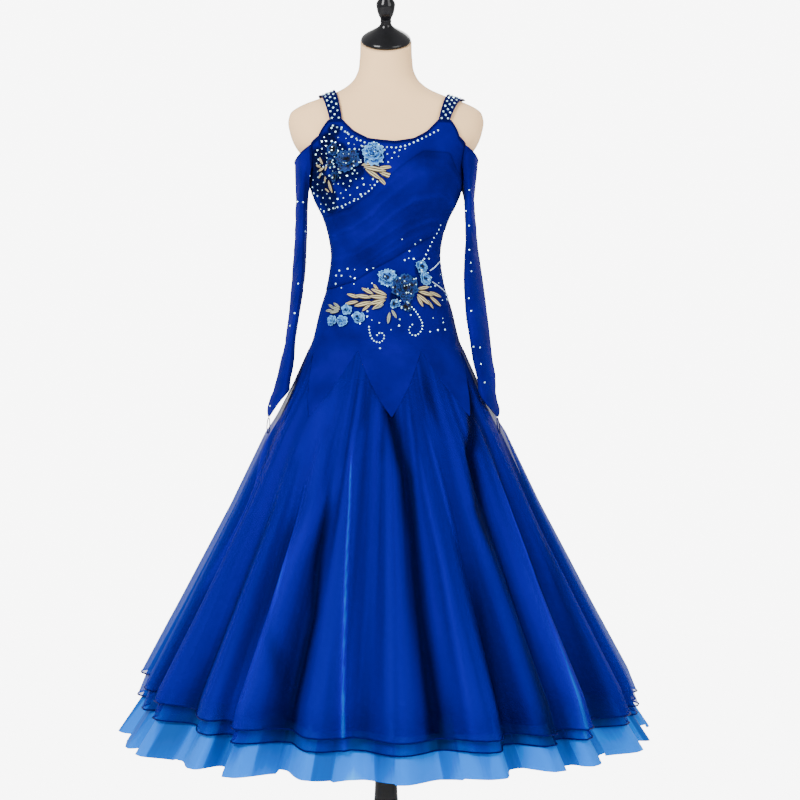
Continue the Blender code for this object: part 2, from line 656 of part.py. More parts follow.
def make_lining():
    """Plain opaque lining skirt."""
    for half, start in (("front", -90), ("back", 90)):
        angles = np.linspace(start, start + 180, LINING_COLUMNS + 1)
        grid = []
        for z in np.linspace(LINING_TOP, LINING_HEM, LINING_BANDS + 1):
            flare = between(FLARE, "lining", z)
            grid.append([skirt_point(angle, z, flare) for angle in angles])
        cloth("skirt_lining_" + half, part_seams(grid), BLUE_LINING)


def make_flounce():
    """Pale stiffened flounce that stands out from the lining's hem."""
    for half, first_fold in (("front", -SIDE_FOLD), ("back", SIDE_FOLD)):
        columns = skirt_columns(first_fold)
        grid = []
        for z in FLOUNCE_LEVELS:
            swell = FLUTE * between(FLOUNCE, "flutes", z)
            flare = between(FLOUNCE, "flare", z)
            grid.append([skirt_point(leaned(c, z), z, flare, swell * c.swell) for c in columns])
        cloth("flounce_" + half, part_seams(grid), PALE_FLOUNCE)


def front_angle(x, z):
    """Angle from the dress's centre front of a point of the body's front at a given side distance."""
    return math.copysign(side_angle(x, z), x) - DRESS_TURN


def make_plate(bodice, plate):
    """Applique plate with a lobed outline that follows the bodice under it."""
    count = plate.lobes * LOBE_POINTS
    tilt = math.radians(plate.turn)

    def place(radius, turn):
        along = plate.along * radius * math.cos(turn)
        across = plate.across * radius * math.sin(turn)
        x = plate.x + along * math.cos(tilt) - across * math.sin(tilt)
        z = plate.z + along * math.sin(tilt) + across * math.cos(tilt)
        return laid_point(bodice, front_angle(x, z), z, PLATE_LAY + WALL)

    points = [place(0.0, 0.0)]
    for size in (0.5, 1.0):
        for k in range(count):
            turn = 2 * math.pi * k / count
            lobe = 1.0 - plate.notch * size * (0.5 - 0.5 * math.cos(plate.lobes * turn))
            points.append(place(size * lobe, turn))
    faces = []
    for i in range(count):
        j = (i + 1) % count
        inner, outer = 1, 1 + count
        faces.append((0, inner + i, inner + j))
        faces.append((inner + i, outer + i, outer + j))
        faces.append((inner + i, outer + j, inner + j))
    sheet(plate.name, points, faces, plate.material)


def make_torso():
    """Smooth limbless body with a slanting neck top."""
    bm = bmesh.new()
    rings = []
    for z in (row.z for row in BODY):
        ring = []
        for k in range(TORSO_SIDES):
            x, y, height = form_point(360 * k / TORSO_SIDES, z, FORM_BUST_RISE)
            slant = max(0.0, (z - NECK_ROOT) / (NECK_TOP - NECK_ROOT))
            height += y * slant * math.tan(math.radians(CAP_TILT))
            ring.append(bm.verts.new((x, y, height)))
        rings.append(ring)
    for low, high in zip(rings, rings[1:]):
        for i in range(TORSO_SIDES):
            j = (i + 1) % TORSO_SIDES
            bm.faces.new((low[i], low[j], high[j]))
            bm.faces.new((low[i], high[j], high[i]))
    bm.faces.new(list(reversed(rings[0])))
    bm.faces.new(rings[-1])
    mesh = bpy.data.meshes.new("form_torso")
    bm.to_mesh(mesh)
    bm.free()
    add_mesh("form_torso", mesh, CREAM_LINEN)


def turned(name, profile, steps, material):
    """Turned piece: a profile swept once round by Screw."""
    mesh = bpy.data.meshes.new(name)
    mesh.from_pydata([(r, 0.0, z) for r, z in profile], [(k, k + 1) for k in range(len(profile) - 1)], [])
    obj = bpy.data.objects.new(name, mesh)
    dress_parts.objects.link(obj)
    screw = obj.modifiers.new("Turn", "SCREW")
    screw.steps = screw.render_steps = steps
    screw.use_merge_vertices = True
    screw.merge_threshold = 0.00005
    screw.use_smooth_shade = True
    finish_material(obj, material)
    return obj


def make_stand():
    """Neck cap with its finial, pole and round base."""
    cap = turned("neck_cap", CAP_PROFILE, CAP_STEPS, BLACK_GLOSS)
    tilt = math.radians(CAP_TILT)
    lift = CAP_REST + SEAM
    cap.location = (0.0, -lift * math.sin(tilt), NECK_TOP + lift * math.cos(tilt))
    cap.rotation_euler = (tilt, 0.0, 0.0)
    turned("pole", POLE_PROFILE, POLE_STEPS, BLACK_GLOSS)
    turned("base", BASE_PROFILE, BASE_STEPS, BLACK_GLOSS)


def build():
    """Make every piece."""
    make_torso()
    make_stand()
    bodice = make_bodice()
    make_sash(bodice)
    for side, sign in (("left", -1), ("right", 1)):
        make_strap(side, sign)
        make_sleeve(bodice, side, sign)
    for row in LOOPS:
        make_loop(row)
    make_organza()
    make_lining()
    make_flounce()
    for plate in PLATES:
        make_plate(bodice, plate)


for old in list(bpy.data.objects):
    bpy.data.objects.remove(old, do_unlink=True)
dress_parts = bpy.data.collections.new("ballroom dress on a form")
bpy.context.scene.collection.children.link(dress_parts)
build()
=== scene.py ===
"""Ballroom dance dress on a limbless dress form: cloth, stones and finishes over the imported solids."""

import math
import random
from collections import namedtuple
from functools import cache

import bmesh
import bpy
import numpy as np
from mathutils import Matrix, Vector


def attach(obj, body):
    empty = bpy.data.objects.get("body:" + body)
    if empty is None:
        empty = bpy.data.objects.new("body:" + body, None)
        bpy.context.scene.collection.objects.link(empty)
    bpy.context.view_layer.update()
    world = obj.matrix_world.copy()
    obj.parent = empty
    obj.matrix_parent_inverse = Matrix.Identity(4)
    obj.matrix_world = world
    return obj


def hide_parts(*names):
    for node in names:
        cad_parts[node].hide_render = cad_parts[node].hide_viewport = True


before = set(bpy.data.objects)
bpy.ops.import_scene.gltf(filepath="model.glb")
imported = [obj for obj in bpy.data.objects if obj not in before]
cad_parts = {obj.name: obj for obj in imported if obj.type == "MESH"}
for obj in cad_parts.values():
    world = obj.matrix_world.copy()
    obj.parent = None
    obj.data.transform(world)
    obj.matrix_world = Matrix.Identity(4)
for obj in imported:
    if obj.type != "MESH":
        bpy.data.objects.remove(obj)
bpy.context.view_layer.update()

bl_info = {
    "name": "Ballroom dress on a form",
    "version": (1, 0, 0),
    "blender": (4, 5, 0),
    "location": "View3D > Sidebar > Dress",
    "description": "Builds the cloth, applique, stones and stand of a ballroom dance dress",
    "category": "Object",
}


def table(fields, *rows):
    """Rows of values with named columns."""
    row = namedtuple("Row", fields)
    return tuple(row(*values) for values in rows)


# Sizes shared with the solids
WALL = 0.0015
EASE = 0.0042
DRESS_TURN = 3.0
HIP = 1.050
SKIRT_SQUARE = 2.05
POINT_PITCH = 45.0
POINT_TOP = 1.020
POINT_TIP = 0.885
FOLD_PITCH = 15.0
FLUTE = 0.024
UNDER_TOP = 0.985
UNDER_REACH = 0.86
UNDER_GAP_TOP = 0.0034
UNDER_GAP = 0.0112
LINING_TOP = 0.975
FLOUNCE_TOP = 0.388
FLOUNCE_HEM = 0.225
BASE_RADIUS = 0.175
POLE_TOP = 0.8697
CAP_TILT = 30.0
NECK_TOP = 1.665
NECK_ROOT = 1.600
CAP_LIFT = 0.0063
WAIST = 1.215
FULL_TURN = 2 * math.pi

BODY = table(
    "z half_width front back square",
    (0.870, 0.1400, 0.100, 0.112, 2.1),
    (0.940, 0.1490, 0.108, 0.122, 2.1),
    (1.020, 0.1520, 0.112, 0.124, 2.1),
    (1.063, 0.1425, 0.108, 0.115, 2.2),
    (1.105, 0.1325, 0.101, 0.102, 2.2),
    (1.147, 0.1195, 0.093, 0.090, 2.2),
    (1.189, 0.1115, 0.087, 0.083, 2.2),
    (1.215, 0.1090, 0.085, 0.081, 2.2),
    (1.252, 0.1130, 0.088, 0.085, 2.2),
    (1.294, 0.1245, 0.094, 0.093, 2.2),
    (1.336, 0.1450, 0.102, 0.102, 2.3),
    (1.372, 0.1565, 0.107, 0.108, 2.4),
    (1.400, 0.1600, 0.106, 0.111, 2.5),
    (1.425, 0.1740, 0.102, 0.111, 2.5),
    (1.445, 0.1890, 0.097, 0.109, 2.5),
    (1.475, 0.2010, 0.086, 0.102, 2.5),
    (1.504, 0.2035, 0.073, 0.090, 2.4),
    (1.520, 0.1960, 0.065, 0.082, 2.3),
    (1.535, 0.1700, 0.059, 0.076, 2.2),
    (1.550, 0.1280, 0.055, 0.071, 2.1),
    (1.565, 0.0930, 0.053, 0.068, 2.0),
    (1.580, 0.0725, 0.052, 0.065, 2.0),
    (1.600, 0.0600, 0.052, 0.060, 2.0),
    (1.630, 0.0550, 0.052, 0.056, 2.0),
    (1.665, 0.0536, 0.053, 0.054, 2.0),
)
BUST_RISE = 0.018
FORM_BUST_RISE = 0.015
BUST_SIDE = 0.072
BUST_HEIGHT = 1.362
BUST_SPREAD = (0.042, 0.050)

FLARE = table(
    "z top lining flutes",
    (0.225, 0.390, 0.358, 1.10),
    (0.300, 0.358, 0.318, 0.95),
    (0.350, 0.339, 0.292, 0.90),
    (0.380, 0.324, 0.276, 0.84),
    (0.500, 0.263, 0.208, 0.65),
    (0.700, 0.164, 0.120, 0.35),
    (0.850, 0.098, 0.066, 0.08),
    (0.880, 0.0805, 0.058, 0.0),
    (0.950, 0.0445, 0.034, 0.0),
    (1.000, 0.022, 0.018, 0.0),
    (1.020, 0.013, 0.010, 0.0),
    (HIP, 0.0, 0.0, 0.0),
)
FLOUNCE = table(
    "z flare flutes",
    (0.225, 0.381, 1.00),
    (0.300, 0.331, 0.95),
    (0.360, 0.306, 0.72),
    (0.388, 0.2785, 0.0),
)
HEMS = table(
    "angle top under",
    (-180, 0.300, 0.283),
    (-90, 0.350, 0.303),
    (-45, 0.315, 0.288),
    (0, 0.295, 0.272),
    (45, 0.292, 0.273),
    (90, 0.300, 0.283),
    (180, 0.300, 0.283),
)
FOLDS = table(
    "lean crest valley",
    (0, 0.8, 0.8), (4, 1.0, 1.3), (3, 1.1, 0.7), (-1, 0.8, 1.0),
    (2, 1.0, 0.8), (-2, 0.9, 1.0), (0, 1.0, 0.8), (3, 0.9, 1.2),
    (-2, 1.1, 0.8), (2, 0.8, 1.0), (-3, 1.0, 0.9), (3, 0.9, 1.2),
    (0, 1.1, 0.8), (-3, 0.9, 1.0), (2, 1.0, 1.1), (-2, 0.8, 0.8),
    (3, 1.1, 1.0), (-2, 0.9, 0.9), (0, 1.0, 0.8), (2, 0.9, 1.0),
    (-3, 1.0, 0.8), (1, 0.8, 1.0), (-4, 1.1, 1.3), (-2, 0.9, 0.8),
)
TOP_EDGE = table(
    "angle front back",
    (0, 1.444, 1.415),
    (10, 1.450, 1.422),
    (17, 1.465, 1.445),
    (24, 1.490, 1.478),
    (33, 1.490, 1.478),
    (42, 1.458, 1.455),
    (51, 1.446, 1.435),
    (65, 1.405, 1.402),
    (78, 1.382, 1.382),
    (90, 1.372, 1.372),
)
STRAP_EDGES = (24.375, 31.875)
STRAP_CORD = 0.0012
STRAP_RISE = 0.0015
SHOULDER_WIDEST = 1.504
RIDGE_SIDE = 0.136
RIDGE_WIDTH = 0.030
RIDGE_SHIFT = 0.0122

SASH = table(
    "angle lower upper",
    (-88, 1.145, 1.298),
    (-60, 1.147, 1.302),
    (-33, 1.160, 1.314),
    (-13, 1.185, 1.340),
    (2, 1.205, 1.385),
    (18, 1.227, 1.425),
    (40, 1.248, 1.425),
    (60, 1.262, 1.388),
    (88, 1.276, 1.350),
)
SLEEVES = table(
    "z y deep left_x left_thick left_turn right_x right_thick right_turn",
    (0.880, -0.060, 0.018, 0.2375, 0.0050, 20, 0.2274, 0.0050, 24),
    (0.895, -0.058, 0.028, 0.2345, 0.0070, 20, 0.2234, 0.0070, 24),
    (0.916, -0.054, 0.036, 0.2280, 0.0110, 20, 0.2155, 0.0095, 24),
    (0.937, -0.050, 0.040, 0.2180, 0.0140, 18, 0.2105, 0.0120, 24),
    (0.958, -0.045, 0.042, 0.2125, 0.0145, 12, 0.2095, 0.0135, 24),
    (1.000, -0.035, 0.045, 0.2048, 0.0135, 10, 0.2017, 0.0150, 23),
    (1.042, -0.027, 0.048, 0.1996, 0.0110, 8, 0.1965, 0.0150, 23),
    (1.084, -0.020, 0.052, 0.1933, 0.0110, 7, 0.1910, 0.0160, 22),
    (1.168, -0.010, 0.058, 0.1838, 0.0135, 8, 0.1830, 0.0155, 16),
    (1.252, -0.004, 0.060, 0.1787, 0.0135, 5, 0.1787, 0.0125, 7),
    (1.336, 0.000, 0.062, 0.1765, 0.0135, 5, 0.1755, 0.0110, 4),
    (1.450, 0.000, 0.064, 0.1765, 0.0135, 5, 0.1755, 0.0110, 4),
)
SLEEVE_SIDES, SLEEVE_ROWS = 120, 220
SLEEVE_FOLDS = 26
SLEEVE_SETTLE = 0.16
SLEEVE_OUTSIDE = 0.191
SLEEVE_DIP = 0.024
SLEEVE_CLEAR = 0.006
ARMHOLE_FRONT = 51.0
ARMHOLE_LAP = 0.003
CUFF_INNER = 0.943
CUFF_TIP = 0.883
CUFF_POINT = 1.3
CUFF_CORD = 0.0010
SHOULDER_CORD = 0.0015

LOOPS = table(
    "side top_x top_y low_x low_y low_z width",
    ("left", -0.2420, -0.0600, -0.2430, -0.0740, 0.849, 0.008),
    ("right", 0.2310, -0.0600, 0.2340, -0.0850, 0.849, 0.008),
)
LOOP_WIRE = 0.0012

CAP_PROFILE = (
    (0.0, 0.1290), (0.0070, 0.1255), (0.0095, 0.1190), (0.0062, 0.1090), (0.0090, 0.0970),
    (0.0138, 0.0880), (0.0203, 0.0775), (0.0195, 0.0700), (0.0170, 0.0560), (0.0105, 0.0430),
    (0.0122, 0.0385), (0.0105, 0.0345), (0.0160, 0.0260), (0.0300, 0.0170), (0.0460, 0.0075),
    (0.0534, -0.0005), (0.0505, -0.0060), (0.0, -0.0060),
)
POLE_PROFILE = (
    (0.0, POLE_TOP), (0.020, POLE_TOP), (0.020, 0.200), (0.026, 0.186), (0.0290, 0.174),
    (0.0235, 0.160), (0.0235, 0.090), (0.0270, 0.0603), (0.0, 0.0603),
)
BASE_PROFILE = (
    (0.0, 0.060), (0.038, 0.060), (0.046, 0.048), (0.052, 0.028), (0.165, 0.018),
    (BASE_RADIUS, 0.012), (BASE_RADIUS, 0.0), (0.0, 0.0),
)


class Curve:
    """Smooth curve through one column of a table whose first column is its height."""

    def __init__(self, rows, column):
        self.keys = np.array([row[0] for row in rows], dtype=float)
        self.values = np.array([getattr(row, column) for row in rows], dtype=float)
        self.slopes = np.gradient(self.values, self.keys)

    def __call__(self, at):
        at = np.asarray(at, dtype=float)
        k = np.clip(np.searchsorted(self.keys, at) - 1, 0, len(self.keys) - 2)
        span = self.keys[k + 1] - self.keys[k]
        f = np.clip((at - self.keys[k]) / span, 0.0, 1.0)
        rise = 3 * f * f - 2 * f ** 3
        start = span * self.slopes[k] * (f ** 3 - 2 * f * f + f)
        end = span * self.slopes[k + 1] * (f ** 3 - f * f)
        return self.values[k] * (1 - rise) + self.values[k + 1] * rise + start + end


body = {name: Curve(BODY, name) for name in BODY[0]._fields[1:]}
sleeve = {name: Curve(SLEEVES, name) for name in SLEEVES[0]._fields[1:]}


def between(rows, column, at):
    """Straight-line value of a table's column."""
    return np.interp(at, [row[0] for row in rows], [getattr(row, column) for row in rows])


def smooth_step(value):
    """Soft rise from 0 to 1."""
    value = np.clip(value, 0.0, 1.0)
    return value * value * (3 - 2 * value)


def section(angle, half_width, front, back, square):
    """Points of a rounded section; 0 degrees is the front and 90 the +X side."""
    sine, cosine = np.sin(np.radians(angle)), np.cos(np.radians(angle))
    power = 2.0 / square
    depth = np.where(cosine > 0, front, back)
    x = half_width * np.sign(sine) * np.abs(sine) ** power
    y = -depth * np.sign(cosine) * np.abs(cosine) ** power
    return x, y


def form_point(angle, z, bust=BUST_RISE):
    """Points of the dress form's surface."""
    angle, z = np.broadcast_arrays(np.asarray(angle, float), np.asarray(z, float))
    x, y = section(angle, body["half_width"](z), body["front"](z), body["back"](z), body["square"](z))
    side = (np.abs(x) - BUST_SIDE) / BUST_SPREAD[0]
    height = (z - BUST_HEIGHT) / BUST_SPREAD[1]
    y = np.where(y < 0, y - bust * np.exp(-side * side - height * height), y)
    return np.stack((x, y, z), axis=-1)


def surface_normal(surface, angle, z):
    """Outward normals of a surface given by angle and height."""
    turn, rise = 0.5, 0.002
    across = surface(angle + turn, z) - surface(angle - turn, z)
    up = surface(angle, z + rise) - surface(angle, z - rise)
    normal = np.cross(across, up)
    return normal / np.linalg.norm(normal, axis=-1, keepdims=True)


def bodice_point(angle, z, lift=0.0):
    """Outer face of the fitted dress, at an angle from its own centre front."""
    angle, z = np.broadcast_arrays(np.asarray(angle, float) + DRESS_TURN, np.asarray(z, float))
    out = np.asarray(EASE + WALL + lift, float)
    return form_point(angle, z) + surface_normal(form_point, angle, z) * out[..., None]


@cache
def hip_size():
    """Half width, front and back of the dress at the hip."""
    return [abs(bodice_point(turn - DRESS_TURN, HIP)[axis]) for turn, axis in ((90, 0), (0, 1), (180, 1))]


def skirt_point(angle, z, flare, swell=0.0):
    """Outer face of a skirt: the hip's section, flared out, with a flute's swell."""
    angle, z, flare, swell = np.broadcast_arrays(*(np.asarray(v, float) for v in (angle, z, flare, swell)))
    half_width, front, back = hip_size()
    x, y = section(angle + DRESS_TURN, half_width + flare, front + flare, back + flare, SKIRT_SQUARE)
    turn = np.radians(angle + DRESS_TURN)
    return np.stack((x + swell * np.sin(turn), y - swell * np.cos(turn), z), axis=-1)


def dress_point(angle, z, lift=0.0):
    """Outer face of the bodice, body above the hip and flared like the skirt below it."""
    angle, z, lift = np.broadcast_arrays(*(np.asarray(v, float) for v in (angle, z, lift)))
    body_share = np.clip((z - HIP + 0.03) / 0.03, 0.0, 1.0)[..., None]
    flared = skirt_point(angle, z, between(FLARE, "top", z) + lift)
    return bodice_point(angle, z, lift) * body_share + flared * (1.0 - body_share)


def point_edge(angle):
    """Height of the bodice's pointed lower edge."""
    share = np.abs(((angle / POINT_PITCH) + 0.5) % 1.0 - 0.5) * 2.0
    return POINT_TIP + (POINT_TOP - POINT_TIP) * share


def side_angle(x, z):
    """Angle from the form's centre front or back at which its surface is this far to the side."""
    share = np.minimum(1.0, np.abs(x) / body["half_width"](z))
    return np.degrees(np.arcsin(share ** (0.5 * body["square"](z))))


def front_angle(x, z):
    """Angle from the dress's centre front of a point of its front at a given side distance."""
    return np.sign(x) * side_angle(x, z) - DRESS_TURN


def front_frame(x, z, lift=0.0):
    """Place, outward normal and sideways direction on the bodice's front."""
    angle = front_angle(x, z)
    place = dress_point(angle, z, lift)
    normal = surface_normal(bodice_point, angle, z)
    side = np.cross((0.0, 0.0, 1.0), normal)
    side = side / np.linalg.norm(side, axis=-1, keepdims=True)
    return place, normal, side


def settings():
    """The builder's sizes and colours."""
    return bpy.context.scene.ballroom_dress


def linear(colour, strength=1.0):
    """Colour with its alpha, made stronger or weaker."""
    return (*(min(1.0, channel * strength) for channel in colour), 1.0)


class Nodes:
    """A node tree under construction, with short ways to add nodes and join them."""

    def __init__(self, tree):
        self.tree, self.nodes, self.links = tree, tree.nodes, tree.links

    def fill(self, node, given):
        """Join or set inputs: each is a socket to link from or a constant."""
        for name, value in given.items():
            socket = node.inputs[name.replace("_", " ")]
            if isinstance(value, bpy.types.NodeSocket):
                self.links.new(value, socket)
            else:
                socket.default_value = value
        return node

    def add(self, kind, **given):
        return self.fill(self.nodes.new(kind), given)

    def group(self, tree, **given):
        """Node that holds a group."""
        node = self.nodes.new("ShaderNodeGroup")
        node.node_tree = tree
        return self.fill(node, given)

    def reckon(self, operation, first, second, kind="ShaderNodeMath"):
        """Sum, product or other result of two values or sockets."""
        node = self.nodes.new(kind)
        node.operation = operation
        for socket, given in zip(node.inputs, (first, second)):
            if isinstance(given, float):
                socket.default_value = given
            else:
                self.links.new(given, socket)
        return node.outputs[0]

    def seen_by_camera(self, light, seen, share=1.0):
        """Shader that gives one shader's light and shows the camera another."""
        ray = self.add("ShaderNodeLightPath").outputs["Is Camera Ray"]
        mix = self.add("ShaderNodeMixShader", Fac=self.reckon("MULTIPLY", ray, share))
        self.links.new(light.outputs[0], mix.inputs[1])
        self.links.new(seen.outputs[0], mix.inputs[2])
        return mix.outputs[0]


def new_group(name, kind, inputs, outputs):
    """Empty group with its sockets, each a name and a type."""
    group = Nodes(bpy.data.node_groups.new(name, kind))
    for way, sockets in (("INPUT", inputs), ("OUTPUT", outputs)):
        for socket, holds in sockets.items():
            group.tree.interface.new_socket(socket, in_out=way, socket_type="NodeSocket" + holds)
    return group, group.add("NodeGroupInput").outputs, group.add("NodeGroupOutput").inputs


@cache
def weave_group():
    """Fine woven or knitted ground: a height and a small change of tone."""
    group, given, made = new_group(
        "cloth ground", "ShaderNodeTree", {"Vector": "Vector", "Threads": "Float", "Patch Size": "Float"},
        {"Height": "Float", "Tone": "Float"})
    waves = []
    for direction in ("X", "Y"):
        wave = group.add("ShaderNodeTexWave", Vector=given["Vector"], Scale=given["Threads"], Distortion=0.6)
        wave.bands_direction = direction
        waves.append(wave.outputs["Fac"])
    group.links.new(group.reckon("ADD", *waves), made["Height"])
    patch = group.add("ShaderNodeTexNoise", Vector=given["Vector"], Scale=given["Patch Size"], Detail=3.0)
    group.links.new(patch.outputs["Fac"], made["Tone"])
    return group.tree


@cache
def streak_group():
    """Long thin streaks that run down a cloth, from its own UV map."""
    group, given, made = new_group(
        "thread streaks", "ShaderNodeTree", {"Vector": "Vector", "Across": "Float", "Along": "Float"},
        {"Streak": "Float"})
    size = group.add("ShaderNodeCombineXYZ", X=given["Across"], Y=given["Along"])
    stretch = group.reckon("MULTIPLY", given["Vector"], size.outputs["Vector"], "ShaderNodeVectorMath")
    noise = group.add("ShaderNodeTexNoise", Vector=stretch, Scale=1.0, Detail=4.0, Roughness=0.62)
    group.links.new(noise.outputs["Fac"], made["Streak"])
    return group.tree


class Finish(Nodes):
    """A material under construction, with the textures that cloth, stones and lacquer share."""

    def __init__(self, name, roughness, shine=None, **constants):
        self.material = bpy.data.materials.new(name)
        self.material.use_nodes = True
        super().__init__(self.material.node_tree)
        self.shader = self.fill(self.nodes["Principled BSDF"], dict(constants, Roughness=roughness))
        if shine:
            self.fill(self.shader, {"Specular Tint": linear(shine), "Sheen Tint": linear(shine)})

    def coordinates(self, kind="Object"):
        return self.nodes.new("ShaderNodeTexCoord").outputs[kind]

    def value(self, name):
        """Value kept on the cloth's points."""
        node = self.nodes.new("ShaderNodeAttribute")
        node.attribute_name = name
        return node.outputs["Fac"]

    def noise(self, scale, detail=2.0):
        node = self.add("ShaderNodeTexNoise", Vector=self.coordinates(), Scale=scale, Detail=detail)
        return node.outputs["Fac"]

    def ground(self, threads, patch_size):
        node = self.group(weave_group(), Vector=self.coordinates(), Threads=threads, Patch_Size=patch_size)
        return node.outputs

    def streak(self, across, along):
        node = self.group(streak_group(), Vector=self.coordinates("UV"), Across=across, Along=along)
        return node.outputs["Streak"]

    def uneven(self, value, middle, strength):
        """Unevenness about zero from a texture."""
        return self.reckon("MULTIPLY", self.reckon("SUBTRACT", value, middle), strength)

    def split_uv(self):
        """The two directions of the cloth's own map, and the distance from its middle line."""
        split = self.add("ShaderNodeSeparateXYZ", Vector=self.coordinates("UV")).outputs
        return split["Y"], self.reckon("ABSOLUTE", self.reckon("SUBTRACT", split["X"], 0.5), 0.0)

    def ramp(self, value, stops, socket="Base Color"):
        """Colour or grey ramp from a value into one of the shader's sockets."""
        ramp = self.add("ShaderNodeValToRGB", Fac=value)
        elements = ramp.color_ramp.elements
        while len(elements) < len(stops):
            elements.new(0.5)
        for element, (place, colour) in zip(elements, stops):
            element.position = place
            element.color = colour if isinstance(colour, tuple) else (colour, colour, colour, 1.0)
        if socket:
            self.links.new(ramp.outputs["Color"], self.shader.inputs[socket])
        return ramp.outputs["Color"]

    def blend(self, share, first, second):
        """Base colour that goes from a colour socket to a fixed colour."""
        node = self.nodes.new("ShaderNodeMix")
        node.data_type = "RGBA"
        self.links.new(share, node.inputs[0])
        self.links.new(first, node.inputs[6])
        node.inputs[7].default_value = linear(second)
        self.links.new(node.outputs[2], self.shader.inputs["Base Color"])

    def bump(self, height, distance, strength=1.0):
        bump = self.add("ShaderNodeBump", Height=height, Strength=strength, Distance=distance)
        self.links.new(bump.outputs["Normal"], self.shader.inputs["Normal"])


BLUE_SHINE = (0.02, 0.08, 1.0)


@cache
def jersey_finish():
    """Matt stretch jersey of the bodice, sash, straps and sleeves, with a dark net ground at the bust and
    painted shade and highlight along the sash's folds.
    """
    blue = settings().jersey_colour
    made = Finish("blue stretch jersey", 0.65, BLUE_SHINE, Sheen_Weight=0.08, Sheen_Roughness=0.5,
                  Specular_IOR_Level=0.06)
    ground = made.ground(1500.0, 14.0)
    # The fold value paints shade in the sash's troughs and at its edges and a highlight on its ridges.
    tone = made.reckon("ADD", ground["Tone"], made.value("fold"))
    cloth = made.ramp(tone, (
        (0.1, linear(blue, 0.45)), (0.4, linear(blue, 0.85)), (0.62, linear(blue, 1.12)),
        (0.9, linear(blue, 1.6))), None)
    holes = made.add("ShaderNodeTexVoronoi", Vector=made.coordinates(), Scale=330.0)
    net = made.ramp(holes.outputs["Distance"], ((0.15, 0.55), (0.5, 1.0)), None)
    made.blend(made.reckon("MULTIPLY", made.value("net"), net), cloth, settings().net_colour)
    made.bump(ground["Height"], 0.00012, 0.6)
    return made.material


@cache
def organza_finish(layer):
    """See-through organza with painted shade in its folds, painted highlight on their crests and painted
    light through it at its sides.
    """
    blue, thin = settings().organza_colour, settings().painted_backlight_colour
    made = Finish("blue organza " + layer, 0.5, BLUE_SHINE, Sheen_Weight=0.08, Specular_IOR_Level=0.08)
    uneven = made.uneven(made.streak(34.0, 0.8), 0.5, 0.55)
    fold = made.reckon("ADD", made.value("fold"), uneven)
    # Painted shade near black in the deepest folds, painted highlight on the crests, up to the colour of
    # light through the cloth at the top.
    cloth = made.ramp(fold, (
        (0.05, linear(blue, 0.08)), (0.3, linear(blue, 0.42)), (0.52, linear(blue)),
        (0.75, linear(blue, 1.3)), (0.92, linear(blue, 1.9)), (1.0, linear(thin, 0.9))), None)
    # Painted light through the organza, laid on its sides and on its crests.
    made.blend(made.value("thin"), cloth, thin)
    cover = made.reckon("SUBTRACT", made.value("cover"), made.reckon("MULTIPLY", uneven, 0.3))
    made.ramp(cover, ((0.0, 0.0), (1.0, 1.0)), "Alpha")
    return made.material


@cache
def lining_finish():
    """Opaque lining cloth."""
    blue = settings().lining_colour
    made = Finish("blue lining", 0.6, BLUE_SHINE, Specular_IOR_Level=0.06)
    made.ramp(made.streak(14.0, 0.8), ((0.3, linear(blue, 0.5)), (0.7, linear(blue, 1.3))))
    return made.material


@cache
def flounce_finish():
    """Pale stiffened flounce, deeper blue where its pleats lap, with painted shade in its hollows and painted
    light at its tips.
    """
    pale, deep = settings().flounce_colour, settings().flounce_fold_colour
    made = Finish("pale blue flounce", 0.5, (0.1, 0.5, 1.0), Sheen_Weight=0.1, Specular_IOR_Level=0.1)
    tone = made.reckon("ADD", made.value("fold"), made.uneven(made.streak(24.0, 3.0), 0.5, 0.5))
    made.ramp(tone, ((0.15, linear(deep, 0.6)), (0.42, linear(deep)), (0.55, linear(pale)),
                     (0.78, linear(pale, 1.1)), (0.97, linear(settings().flounce_tip_light_colour))))
    return made.material


@cache
def cord_finish(name, colour):
    """Satin cord or binding."""
    made = Finish(name, 0.5, BLUE_SHINE, Specular_IOR_Level=0.15)
    noise = made.noise(180.0)
    made.ramp(noise, ((0.35, linear(colour, 0.7)), (0.65, linear(colour, 1.3))))
    made.bump(noise, 0.0003)
    return made.material


def binding_finish():
    """Dark binding on edges and hems."""
    return cord_finish("dark blue binding", tuple(settings().binding_colour))


@cache
def linen_finish():
    """Cream linen cover of the form."""
    cream = settings().linen_colour
    made = Finish("cream linen cover", 0.78, Specular_IOR_Level=0.2, Sheen_Weight=0.15)
    ground = made.ground(700.0, 6.0)
    made.ramp(ground["Tone"], ((0.3, linear(cream, 0.95)), (0.7, linear(cream, 1.04))))
    made.bump(ground["Height"], 0.0002, 0.5)
    return made.material


@cache
def lacquer_finish():
    """Black gloss lacquer of the cap, pole and base."""
    black = settings().lacquer_colour
    made = Finish("black gloss lacquer", 0.16, Specular_IOR_Level=0.12, Coat_Weight=0.16, Coat_Roughness=0.04)
    noise = made.noise(22.0, 5.0)
    made.ramp(noise, ((0.3, linear(black, 0.6)), (0.7, linear(black, 1.6))))
    made.ramp(noise, ((0.35, 0.12), (0.65, 0.24)), "Roughness")
    return made.material


@cache
def petal_finish(name, base, rim, edge):
    """Applique petal with painted shade at its root, dark and light patches, a painted highlight towards its
    rim and a fine painted highlight along its edge.
    """
    made = Finish(name, 0.55, Specular_IOR_Level=0.12)
    up, side = made.split_uv()
    # Painted shade near black at the root and painted highlight towards the rim; the noise adds patches at
    # random.
    tone = made.reckon("ADD", up, made.uneven(made.noise(170.0), 0.54, 2.4))
    cloth = made.ramp(tone, ((0.24, linear(base, 0.06)), (0.52, linear(base)), (0.80, linear(rim)),
                             (1.0, linear(rim, 1.4))), None)
    # Painted highlight: a fine light line along the petal's edge.
    outer = made.reckon("MAXIMUM", made.reckon("MULTIPLY", side, 2.0), up)
    made.blend(made.ramp(outer, ((0.89, 0.0), (0.95, 0.85)), None), cloth, edge)
    made.bump(made.streak(26.0, 2.0), 0.0006)
    return made.material


